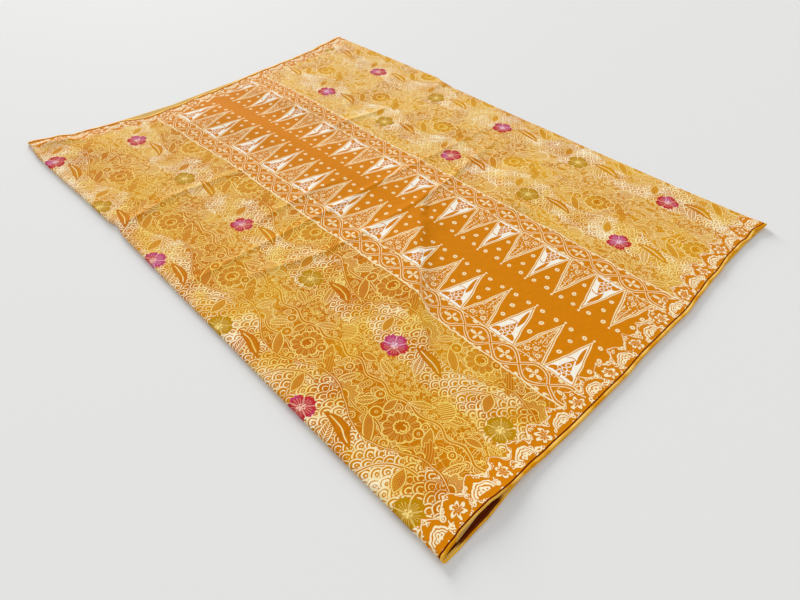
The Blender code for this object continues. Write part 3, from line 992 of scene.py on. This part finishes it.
    def calyx(self, wax: Field, deep: Field) -> tuple[Field, Field]:
        """A ribbed dome under a bud."""
        along, side = self.local(CALYX)
        radius = length_of(along, side)
        inside = radius.under(CALYX.length / 2).least(side.over(-5.0))
        ribs = along.to_nearest(2.9).under(0.6).least(inside)
        rim = radius.line(CALYX.length / 2, 0.8).least(side.over(-5.0))
        return wax.without(inside).most(ribs).most(rim), deep.without(inside)

    def fan(self, wax: Field) -> Field:
        """A half-round fan of striped petals."""
        along, side = self.local(FAN)
        radius = length_of(along, side)
        angle = side.do("ARCTAN2", along)
        petals = (angle * (5.0 / math.pi)).to_nearest(1.0)
        rim = (petals * petals).scaled(20.0, radius)
        reach = FAN.length / 2
        inside = rim.under(reach).least(side.over(0.0))
        stripes = (radius * petals).to_nearest(2.4).under(0.30).least(radius.over(7.0))
        lines = stripes.most(radius.line(7.0, 0.7)).least(inside)
        return wax.without(inside).most(rim.line(reach, 0.8).least(side.over(0.0))).most(lines)

    def medallion(self, wax: Field, deep: Field) -> tuple[Field, Field]:
        """A round flower of eleven striped petals about a ring."""
        along, side = self.local(MEDALLION)
        radius = length_of(along, side)
        petals = (side.do("ARCTAN2", along) * (11.0 / math.tau)).to_nearest(1.0)
        rim = (petals * petals).scaled(13.0, radius)
        reach = MEDALLION.length / 2
        inside = rim.under(reach)
        stripes = (petals * 3.0).to_nearest(1.0).under(0.13).least(radius.over(10.4)) * 0.4
        centre = length_of(along - 1.5, side + 1.0).line(4.2, 0.8).least(along.over(0.0))
        centre = centre.most(rim.scaled(0.5, radius * 0.5).line(9.0, 0.9))
        seams = petals.over(0.475).least(radius.over(9.0))
        lines = stripes.most(centre).most(seams).least(inside)
        return wax.without(inside).most(rim.line(reach, 0.9)).most(lines), deep.most(inside * 0.4)

    def berry(self, wax: Field, at: Berry) -> Field:
        """A ring with a dotted middle."""
        u = self.across.wrap(at.across, self.width) - at.across
        v = self.along.wrap(at.along, self.height) - at.along
        radius = length_of(u, v)
        inside = radius.under(at.radius + 1.0)
        return wax.without(inside).most(radius.line(at.radius, 0.72)).most(radius.line(1.6, 0.45))

    def vine(self, wax: Field) -> Field:
        """The wavy double line between the fillings and the leaves."""
        slow = self.across.wave(self.width, 3.0, self.along - self.vine_at)
        off = abs(self.across.wave(self.width / 4, 3.3, slow))
        return wax.without(off.under(2.8)).most(off.line(1.9, 0.55))

    def stems(self, wax: Field) -> Field:
        """Thin double stems: one along the cloud's edge, and one that curls up over each flower."""
        off = abs(self.across.wave(self.width / 2, 9.0, self.to_cloud - 16.0))
        u, v = self.local(TENDRIL)
        ring = length_of(u, v) - TENDRIL.length / 2
        off = off.least(abs(ring).most((abs(v) - u).most(0.0)))
        return wax.without(off.under(2.4)).most(off.line(1.45, 0.5))

    def cloud_edge(self, wax: Field) -> Field:
        """The double dyed line between the leaves and the waves of scales."""
        off = abs(self.to_cloud)
        return wax.without(off.under(2.0)).most(off.under(0.42))

    def draw(self) -> tuple[Field, Field, Field]:
        """Draw the whole repeat.

        Returns:
            Where wax keeps the cloth light, where the dye is deepest, and the zone of scales.
        """
        ragged = self.art.noise(self.art.point(self.y, self.x), 23.0, 2.0).scaled(26.0, self.along - 13.0)
        in_scales = ragged.over(self.scales_end).most(self.to_cloud.under(0.0))
        wax = self.fillings().mixed(self.fruits(), self.along.under(self.vine_at))
        wax = wax.mixed(self.scales(), in_scales)
        wax = self.vine(self.stems(wax))
        for at in LEAVES:
            wax = self.leaf(wax, at)
        wax, deep = self.pod(wax)
        for at in DARK_LEAVES:
            wax, deep = self.dark_leaf(wax, deep, at)
        wax, deep = self.jagged_leaf(wax, deep)
        wax = self.fan(wax)
        wax, deep = self.medallion(wax, deep)
        wax, deep = self.calyx(wax, deep)
        for at in BERRIES:
            wax = self.berry(wax, at)
        wax = self.cloud_edge(wax)
        return wax, deep, in_scales


@dataclass
class HeadPanel:
    """The head panel: two rows of tall triangles that face each other over a plain band, and two lattices."""

    art: Print
    pitch: float = 44.2
    tip_at: float = 472.8
    light_at: float = 429.3
    tip: float = 17.0
    base: float = 95.0
    half_base: float = 22.8
    lattice_middle: float = 114.0
    lattice_half: float = 17.5
    end: float = 133.0

    def place(self, x: Field, y: Field) -> None:
        """Work out where each place lies in the panel.

        Args:
            x: millimetres across the cloth.
            y: millimetres along the cloth.
        """
        self.x, self.y = x, y
        offset = y - HEAD_MIDDLE
        front = offset.under(0.0)
        self.away = abs(offset)
        self.aside = (x - self.tip_at).wrap(0.0, self.pitch)
        column = (x - self.light_at).wrap(0.0, 2 * self.pitch)
        light = abs(column).under(self.pitch / 2)
        self.light = abs(light - front)
        self.inside = self.away.under(self.end)

    def ring_dots(self) -> Field:
        """Round dots of wax with a pinhole of dye, beside the tips and between the triangles."""
        aside = abs(self.aside)
        between = aside.scaled(-1.0, self.pitch / 2)
        low = length_of(aside - 11.6, self.away - 21.0)
        middle = length_of(between, self.away - 39.0)
        high = length_of(between, self.away - 62.0)
        spot = low.least(middle).least(high)
        return spot.under(3.3).without(spot.under(1.0))

    def triangle_edge(self) -> Field:
        """How far each place is outside the triangles' slanting sides."""
        slope = self.half_base / (self.base - self.tip)
        reach = self.away.scaled(slope, -self.tip * slope)
        return (abs(self.aside) - reach) * 0.966

    def light_triangle(self) -> Field:
        """The inside of a triangle left in wax: in dye, a blade over a bush of ring flowers and leaves."""
        aside = abs(self.aside)
        up = self.away
        blade = abs(self.aside - 3.0 - (up - 52.0) * 0.15)
        blade = ((up - 51.0) * (up - 51.0)).scaled(0.0105, blade)
        dyed = blade.under(3.3)
        bush = (aside.scaled(2.3, 61.5) - up).under(0.0).least(up.under(91.0))
        leaves = abs(aside.scaled(-0.55, up - 80.5))
        leaves = ((aside - 12.0) * (aside - 12.0)).scaled(0.07, leaves)
        bush = bush.most(leaves.under(3.8))
        rings = length_of(aside - 6.0, up - 82.0).least(length_of(self.aside, up - 73.0))
        rings = rings.least(length_of(aside - 3.4, up - 88.6)).least(length_of(self.aside, up - 80.6))
        bush = bush.without(rings.line(2.9, 0.55))
        stem = aside.under(0.6).least(up.line(66.0, 3.0)).most(aside.under(0.6).least(up.over(90.0)))
        arches = length_of(self.aside + 3.0, up - 69.0).line(8.5, 0.7).least(up.under(65.0))
        return dyed.most(bush).most(stem).most(arches).scaled(-1.0, 1.0)

    def dyed_triangle(self) -> Field:
        """The inside of a dyed triangle: lines that run to its tip, dots, and three rings at its base."""
        aside = abs(self.aside)
        up = self.away
        fan = aside.do("DIVIDE", up - 6.0).to_nearest(0.13) * (up - 6.0)
        lines = fan.under(0.5).least(up.line(44.0, 24.0))
        rings = length_of(aside - 8.8, up - 87.0).least(length_of(self.aside, up - 79.0))
        rosettes = rings.line(2.9, 0.8).most(rings.under(0.8))
        dots = self.art.cells(self.art.point(self.x, self.y), 3.7).under(0.85)
        return lines.most(dots.without(rings.under(4.6))).most(rosettes)

    def triangles(self, wax: Field) -> Field:
        """Both rows of triangles, with their double sides.

        Args:
            wax: the wax drawn so far.

        Returns:
            The wax with the triangles on it.
        """
        edge = self.triangle_edge()
        body = edge.under(0.0).least(self.away.under(self.base))
        filling = self.dyed_triangle().mixed(self.light_triangle(), self.light)
        margin = edge.over(-3.6)
        filling = filling.without(margin)
        sides = edge.line(-0.7, 0.75).most(edge.line(-3.2, 0.7)).least(self.away.under(self.base))
        tip = length_of(self.aside, self.away - self.tip + 1.0).under(1.7)
        return wax.without(body).most(filling.least(body)).most(sides).most(tip)

    def lattice(self) -> Field:
        """The lattice at a triangle row's foot: crossing waves, four-petal flowers and two straight edges."""
        off = self.away - self.lattice_middle
        wave = abs(self.aside) * (math.pi / self.pitch)
        strands = (abs(off) - wave.do("SINE") * 15.0) * 0.76
        strands = abs(strands).line(1.6, 0.52)
        aside = abs(self.aside).scaled(-1.0, self.pitch / 2)
        far = abs(off)
        across = ((aside - 7.4) * (aside - 7.4)).scaled(0.09, far)
        upright = ((far - 5.2) * (far - 5.2)).scaled(0.14, aside)
        petals = across.line(1.5, 1.1).most(upright.line(1.2, 0.95))
        heart = length_of(aside, off)
        flower = petals.without(heart.under(2.3)).most(heart.line(1.7, 0.5))
        halo = heart.line(13.0, 0.45).least(self.aside.to_nearest(2.0).under(0.5))
        rough = self.art.noise(self.art.point(self.x, self.y), 7.0, 1.0)
        rim = rough.scaled(3.4, far - self.lattice_half - 1.7)
        edges = rim.line(0.0, 1.15)
        lump = length_of(far - self.lattice_half + 3.0, abs(self.aside).scaled(0.55, -3.4))
        lumps = lump.under(1.9).least(rough.over(0.44))
        return strands.most(flower).most(halo).most(edges).most(lumps)

    def draw(self) -> tuple[Field, Field]:
        """Draw the whole panel.

        Returns:
            Where wax keeps the cloth light, and where it is pure white.
        """
        in_lattice = self.away.over(self.base + 1.0)
        wax = self.triangles(self.ring_dots())
        wax = wax.mixed(self.lattice(), in_lattice)
        return wax, self.light.least(self.triangle_edge().under(-3.0)).without(in_lattice)


@dataclass
class HemBorder:
    """The border along both hems: a scalloped double line, stars and lotuses, leaves, dots and buds."""

    art: Print
    period: float = 32.5
    line_at: float = 28.0
    swing: float = 6.5

    def draw(self, hem: Field, x: Field, y: Field) -> tuple[Field, Field]:
        """Draw the border.

        Args:
            hem: millimetres from the nearer hem.
            x: millimetres across the cloth.
            y: millimetres along the cloth.

        Returns:
            Where wax keeps the cloth light, and where the border is.
        """
        rough = self.art.noise(self.art.point(x, y), 9.0, 1.0)
        hem = rough.scaled(6.0, hem - 3.0)
        along = self.art.noise(self.art.point(y, x), 15.0, 1.0).scaled(9.0, y - 4.5)
        is_star = abs(along.wrap(0.0, 2 * self.period)).under(self.period / 2)
        along = along.wrap(0.0, self.period)
        step = abs(along)
        line = hem - step.scaled(-4 * self.swing / self.period, self.line_at + self.swing)
        double = abs(line).line(1.9, 0.8) * rough.ramp(0.25, 0.55).scaled(0.5, 0.5)
        up = hem - 12.5
        radius = length_of(along, up)
        petals = (up.do("ARCTAN2", along) * (6.0 / math.tau)).to_nearest(1.0)
        star = (petals * petals).scaled(26.0, radius) - 9.6
        star = star.line(-2.0, 2.0).without(radius.line(3.2, 0.55)).without(star.line(-3.6, 0.4))
        lotus = length_of(step - 4.6, up + 4.0).least(length_of(along, up + 2.0)) - 8.2
        lotus = lotus.to_nearest(3.1).under(0.95).least(lotus.under(1.0)).least(up.over(-6.0))
        blossom = lotus.mixed(star, is_star)
        aside = step.scaled(-1.0, self.period / 2)
        leaf = (aside * aside).scaled(0.05, abs((hem - 19.0) - aside * 0.7))
        leaf = leaf.line(2.4, 0.6).most(leaf.under(0.4))
        dots = length_of(aside, hem - 6.0).line(1.9, 0.8)
        buds = self.art.cells(self.art.point(x, y), 8.5)
        sprigs = buds.line(2.6, 0.6).most(buds.under(0.9)).without(radius.under(12.5))
        sprigs = sprigs.without(leaf.under(-1.0)).least(line.under(-3.0)).least(rough.over(0.40))
        return double.most(blossom).most(leaf).most(dots).most(sprigs), line.under(0.0)


def picked_colour(red: int, green: int, blue: int) -> Colour:
    """A colour as light, from the numbers a colour picker gives."""
    parts = (red / 255, green / 255, blue / 255)
    return tuple(((part + 0.055) / 1.055) ** 2.4 if part > 10 / 255 else part / 12.92 for part in parts)


@dataclass(frozen=True)
class DyesAndPaintedShade:
    """The colours of the dyed and of the waxed cloth, and the dark brown of painted shade."""

    ground: Colour = picked_colour(202, 120, 0)
    amber: Colour = picked_colour(224, 160, 8)
    deep: Colour = picked_colour(192, 98, 0)
    head: Colour = picked_colour(214, 128, 0)
    leaf_wax: Colour = picked_colour(242, 210, 106)
    scale_wax: Colour = picked_colour(252, 240, 206)
    head_wax: Colour = picked_colour(248, 228, 180)
    white_wax: Colour = picked_colour(250, 244, 228)
    border_wax: Colour = picked_colour(250, 236, 194)
    rose: Colour = picked_colour(192, 44, 50)
    pale_rose: Colour = picked_colour(240, 194, 172)
    lilac: Colour = picked_colour(192, 66, 112)
    pale_lilac: Colour = picked_colour(238, 202, 214)
    olive: Colour = picked_colour(190, 136, 0)
    pale_olive: Colour = picked_colour(246, 218, 132)
    selvedge: Colour = picked_colour(228, 150, 10)
    bright_selvedge: Colour = picked_colour(255, 192, 24)
    reverse: Colour = picked_colour(206, 176, 112)
    # painted shade: the dark brown of the shadow line along the hems and of the pocket's dark inside
    shade: Colour = picked_colour(100, 30, 2)


@dataclass
class BatikCotton:
    """The sarong's cotton: its wax-resist print, its hand-coloured flowers, its weave and its dull sheen."""

    dyes_and_shade: DyesAndPaintedShade = DyesAndPaintedShade()
    roughness: float = 0.82
    specular: float = 0.04
    sheen: float = 0.01
    thread_pitch: float = 0.62
    selvedge_width: float = 4.5
    reverse_from: float = 600.0
    reverse_margin: float = 12.0
    spread: float = 1.0083
    shift_across: float = -5.3
    shift_along: float = 4.5
    unsteady: float = 5.0
    # where the painted sheen and the painted highlight fall
    painted_sheen_slant: float = -0.45
    painted_sheen_from: float = -300.0
    painted_sheen_to: float = 480.0
    fold_highlight_from: float = -352.0
    fold_highlight_to: float = -368.0
    narrow_at: float = -305.0
    pocket_at: float = -430.0
    pocket_inside_hem: float = 10.0
    pocket_half_width: float = 8.2

    def build(self) -> bpy.types.Material:
        """Make the material."""
        material = bpy.data.materials.new("batik_cotton")
        material.use_nodes = True
        tree = material.node_tree
        shader = tree.nodes["Principled BSDF"]
        shader.inputs["Roughness"].default_value = self.roughness
        shader.inputs["Specular IOR Level"].default_value = self.specular
        shader.inputs["Sheen Weight"].default_value = self.sheen
        art = Print(tree)
        x, y, near, far = self.places(art)
        tree.links.new(self.colour(art, x, y, near.least(far)), shader.inputs["Base Color"])
        tree.links.new(self.weave(art), shader.inputs["Normal"])
        return material

    def places(self, art: Print) -> tuple[Field, Field, Field, Field]:
        """Millimetres across and along the cloth, drawn by a slightly unsteady hand, and from its hems."""
        x, y = art.places("cloth")
        x, y = x.scaled(self.spread, self.shift_across), y.scaled(self.spread, self.shift_along)
        at = art.point(x, y)
        sway = art.noise(at, 34.0, 1.0)
        shake = art.noise(art.point(y, x), 27.0, 1.0)
        near, far = art.places("hem")
        middle = self.unsteady / 2
        return sway.scaled(self.unsteady, x) - middle, shake.scaled(self.unsteady, y) - middle, near, far

    def colour(self, art: Print, x: Field, y: Field, hem: Field) -> bpy.types.NodeSocket:
        """The dyed and waxed colour of every place on the cloth, with painted sheen towards the back fold and
        the far hem, a painted highlight round the front fold, and painted shade along the hems.

        Args:
            art: the print's node tree.
            x: millimetres across the cloth.
            y: millimetres along the cloth.
            hem: millimetres from the nearer hem.

        Returns:
            The colour.
        """
        dyes_and_shade = self.dyes_and_shade
        at = art.point(x, y)
        body = BodyRepeat(art)
        body.place(x, y)
        wax, deep, in_scales = body.draw()
        bloom, edge = self.bloom(body)
        is_rose = abs(body.across.wrap(0.0, 2 * body.width)).under(body.width / 2)

        clouds = art.noise(at, 120.0, 2.0).ramp(0.38, 0.62)
        patches = art.noise(art.point(y, x), 70.0, 3.0).ramp(0.56, 0.58)
        # painted sheen: the ground and the wax grow paler towards the back fold and the far hem, where the
        # view grazes the cloth and washes it out
        painted_sheen = x.scaled(self.painted_sheen_slant, y).ramp(self.painted_sheen_from, self.painted_sheen_to)
        ground = art.mix(clouds.scaled(0.5, painted_sheen * 0.8), dyes_and_shade.ground, dyes_and_shade.amber)
        ground = art.mix(patches * 0.45, ground, dyes_and_shade.deep)
        ground = art.mix(deep * 0.6, ground, dyes_and_shade.deep)
        bleach_and_painted_light = art.noise(at, 46.0, 2.0).ramp(0.40, 0.60)
        # painted highlight: the cloth is lighter from about 18 mm before the front fold and all round it,
        # where the rounded edge catches the light
        painted_fold_highlight = y.ramp(self.fold_highlight_from, self.fold_highlight_to)
        # random pale bleached patches, more in the scales, with the painted sheen and the painted highlight
        # added in
        bleach_and_painted_light = in_scales.scaled(0.4, 0.2) * bleach_and_painted_light + in_scales * 0.08 + painted_sheen * 0.55 + painted_fold_highlight * 0.5
        light = art.mix(bleach_and_painted_light.without(deep * 2.0), dyes_and_shade.leaf_wax, dyes_and_shade.scale_wax)
        colour = art.mix(wax, ground, light)
        cooler = art.noise(art.point(y, x), 26.0, 0.0).ramp(0.50, 0.64)
        pale_petal = art.mix(cooler, dyes_and_shade.pale_rose, dyes_and_shade.pale_lilac)
        rose = art.mix(edge, pale_petal, art.mix(cooler, dyes_and_shade.rose, dyes_and_shade.lilac))
        flower = art.mix(is_rose, art.mix(edge, dyes_and_shade.pale_olive, dyes_and_shade.olive), rose)
        colour = art.mix(bloom, colour, flower)

        head = HeadPanel(art)
        head.place(x, y)
        head_wax, white = head.draw()
        head_light = art.mix(white, dyes_and_shade.head_wax, dyes_and_shade.white_wax)
        head_colour = art.mix(head_wax, dyes_and_shade.head, head_light)
        colour = art.mix(head.inside, colour, head_colour)

        border = HemBorder(art)
        border_wax, in_border = border.draw(hem - self.selvedge_width, x, y)
        border_colour = art.mix(border_wax, dyes_and_shade.head, dyes_and_shade.border_wax)
        colour = art.mix(in_border, colour, border_colour)
        return self.hems(art, colour, x, y, hem)

    def bloom(self, body: BodyRepeat) -> tuple[Field, Field]:
        """The hand-coloured flower: five broad notched petals, veined, about a pale heart.

        Args:
            body: the repeat that the flower stands in.

        Returns:
            Where the flower is, and how strong its colour is.
        """
        u = body.across.wrap(0.0, body.width)
        v = body.along.wrap(0.0, body.height)
        radius = length_of(u, v)
        turn = v.do("ARCTAN2", u).scaled(5.0 / math.tau, -1.25)
        from_middle = turn.to_nearest(1.0)
        teeth = (turn * 4.0).to_nearest(1.0)
        squared = from_middle * from_middle
        rim = teeth.scaled(4.0, (squared * squared).scaled(70.0, radius))
        petals = rim.under(body.flower_radius + 1.0)
        veins = (turn * 5.0).to_nearest(1.0).under(0.15).least(rim.under(14.5))
        gaps = from_middle.over(0.46)
        heart = (squared * 26.0 + radius).under(5.6)
        strength = radius.ramp(-12.0, 7.0) - veins * 0.5 - gaps * 0.75 - heart
        stamens = length_of(abs(u) - 2.2, v - 1.0).under(1.0)
        return petals, strength.most(stamens)

    def hems(
        self, art: Print, colour: bpy.types.NodeSocket, x: Field, y: Field, hem: Field
    ) -> bpy.types.NodeSocket:
        """The turned hems: a painted shadow line where the top layer's edge shades the layer below, and a
        bright ribbed selvedge, wider and pale on the reverse; and painted shade inside the pocket at the near
        corner.

        Args:
            art: the print's node tree.
            colour: the printed colour.
            x: millimetres across the cloth.
            y: millimetres along the cloth.
            hem: millimetres from the nearer hem.

        Returns:
            The colour with the hems on it.
        """
        narrow = abs(y - self.narrow_at).ramp(75.0, 30.0)
        reverse = y.over(self.reverse_from)
        margin = reverse.scaled(self.reverse_margin, self.selvedge_width)
        outside = hem - narrow.scaled(-2.0, margin)
        teeth = (y + hem * 0.3).to_nearest(2.5).under(0.45).least(outside.line(-2.0, 1.5))
        patches = art.noise(art.point(y, hem), 31.0, 2.0).ramp(0.38, 0.60)
        strip = art.mix(patches, self.dyes_and_shade.selvedge, self.dyes_and_shade.bright_selvedge)
        strip = art.mix(teeth * patches * 0.75, strip, self.dyes_and_shade.head_wax)
        strip = art.mix(reverse * 0.8, strip, self.dyes_and_shade.reverse)
        colour = art.mix(outside.under(0.0), colour, strip)
        # painted shade: a dark line along each hem, just inside the selvedge strip, in place of the shadow
        # that the top layer's edge casts on the layer below
        painted_hem_shadow = outside.line(0.6, 0.88)
        # painted shade: the dark inside of the pocket between the middle and bottom flaps at the near corner,
        # painted on the bottom flap's upper face only
        in_pocket = abs(hem - self.pocket_inside_hem).under(self.pocket_half_width)
        painted_pocket_shade = abs(y - self.pocket_at).ramp(38.0, 30.0).least(in_pocket)
        painted_pocket_shade = painted_pocket_shade.least(x.over(0.0)).least(art.upper_face())
        return art.mix(painted_hem_shadow.most(painted_pocket_shade * 0.95), colour, self.dyes_and_shade.shade)

    def weave(self, art: Print) -> bpy.types.NodeSocket:
        """Plain-woven threads, uneven in thickness, and the fine puckers of washed cotton."""
        x, y = art.places("cloth")
        warp = (x * (math.tau / self.thread_pitch)).do("SINE")
        weft = (y * (math.tau / self.thread_pitch)).do("SINE")
        puckers = art.noise(art.point(x, y), 9.0, 3.0)
        height = (warp * weft).scaled(0.03, puckers * 0.55)
        bump = art.tree.nodes.new("ShaderNodeBump")
        bump.inputs["Strength"].default_value = 1.0
        bump.inputs["Distance"].default_value = 0.001
        art.tree.links.new(height.socket, bump.inputs["Height"])
        return bump.outputs[0]


@dataclass
class Studio:
    """A plain pale floor, soft even light with more from the far left, and a camera at the photo's angle."""

    camera_at: tuple[float, float, float] = (0.64041, -0.54248, 0.54138)
    forward: tuple[float, float, float] = (-0.50796, 0.49657, -0.70384)
    upward: tuple[float, float, float] = (-0.50849, 0.48668, 0.71034)
    lens: float = 25.585
    sensor: float = 36.0
    floor_size: float = 12.0
    floor_grey: float = 0.78
    world_strength: float = 0.70
    sun_from: tuple[float, float, float] = (-1.0, 0.42, 0.31)
    sun_strength: float = 3.1
    sun_width: float = 24.0

    def build(self) -> None:
        """Make the floor, the lights and the camera."""
        self.build_floor()
        self.build_lights()
        self.build_camera()

    def build_floor(self) -> None:
        """A large flat sheet of pale grey under the cloth."""
        shape = bmesh.new()
        bmesh.ops.create_grid(shape, x_segments=1, y_segments=1, size=self.floor_size / 2)
        mesh = bpy.data.meshes.new("floor")
        shape.to_mesh(mesh)
        shape.free()
        material = bpy.data.materials.new("pale_floor")
        material.use_nodes = True
        shader = material.node_tree.nodes["Principled BSDF"]
        grey = self.floor_grey
        shader.inputs["Base Color"].default_value = (grey, grey, grey * 0.99, 1.0)
        shader.inputs["Roughness"].default_value = 0.9
        mesh.materials.append(material)
        floor = bpy.data.objects.new("floor", mesh)
        bpy.context.scene.collection.objects.link(floor)

    def build_lights(self) -> None:
        """Even light from all round, and a broad soft sun from the far left."""
        world = bpy.data.worlds.new("studio")
        world.use_nodes = True
        world.node_tree.nodes["Background"].inputs["Color"].default_value = (1.0, 1.0, 1.0, 1.0)
        world.node_tree.nodes["Background"].inputs["Strength"].default_value = self.world_strength
        bpy.context.scene.world = world
        sun = bpy.data.lights.new("sun", "SUN")
        sun.energy = self.sun_strength
        sun.angle = math.radians(self.sun_width)
        lamp = bpy.data.objects.new("sun", sun)
        lamp.rotation_euler = (-Vector(self.sun_from)).to_track_quat("-Z", "Y").to_euler()
        bpy.context.scene.collection.objects.link(lamp)
        bpy.context.scene.view_settings.view_transform = "Standard"

    def build_camera(self) -> None:
        """The camera, placed and turned as the photo's was."""
        forward, upward = Vector(self.forward).normalized(), Vector(self.upward)
        right = forward.cross(upward).normalized()
        true_up = right.cross(forward)
        turn = Matrix((right, true_up, -forward)).transposed()
        camera = bpy.data.cameras.new("camera")
        camera.lens = self.lens
        camera.sensor_width = self.sensor
        eye = bpy.data.objects.new("camera", camera)
        eye.matrix_world = Matrix.Translation(self.camera_at) @ turn.to_4x4()
        bpy.context.scene.collection.objects.link(eye)
        bpy.context.scene.camera = eye


def main() -> None:
    """Build the cloth and the studio, and tie the cloth to the frame."""
    logging.basicConfig(level=logging.INFO, format="%(message)s")
    sheet = FoldedSheet()
    cloth = sheet.build()
    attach(cloth, "root")
    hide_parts("sarong")
    cloth.data.materials.append(BatikCotton().build())
    LOG.info("cloth: %d faces", len(cloth.data.polygons))
    Studio().build()


if __name__ == "__main__":
    main()
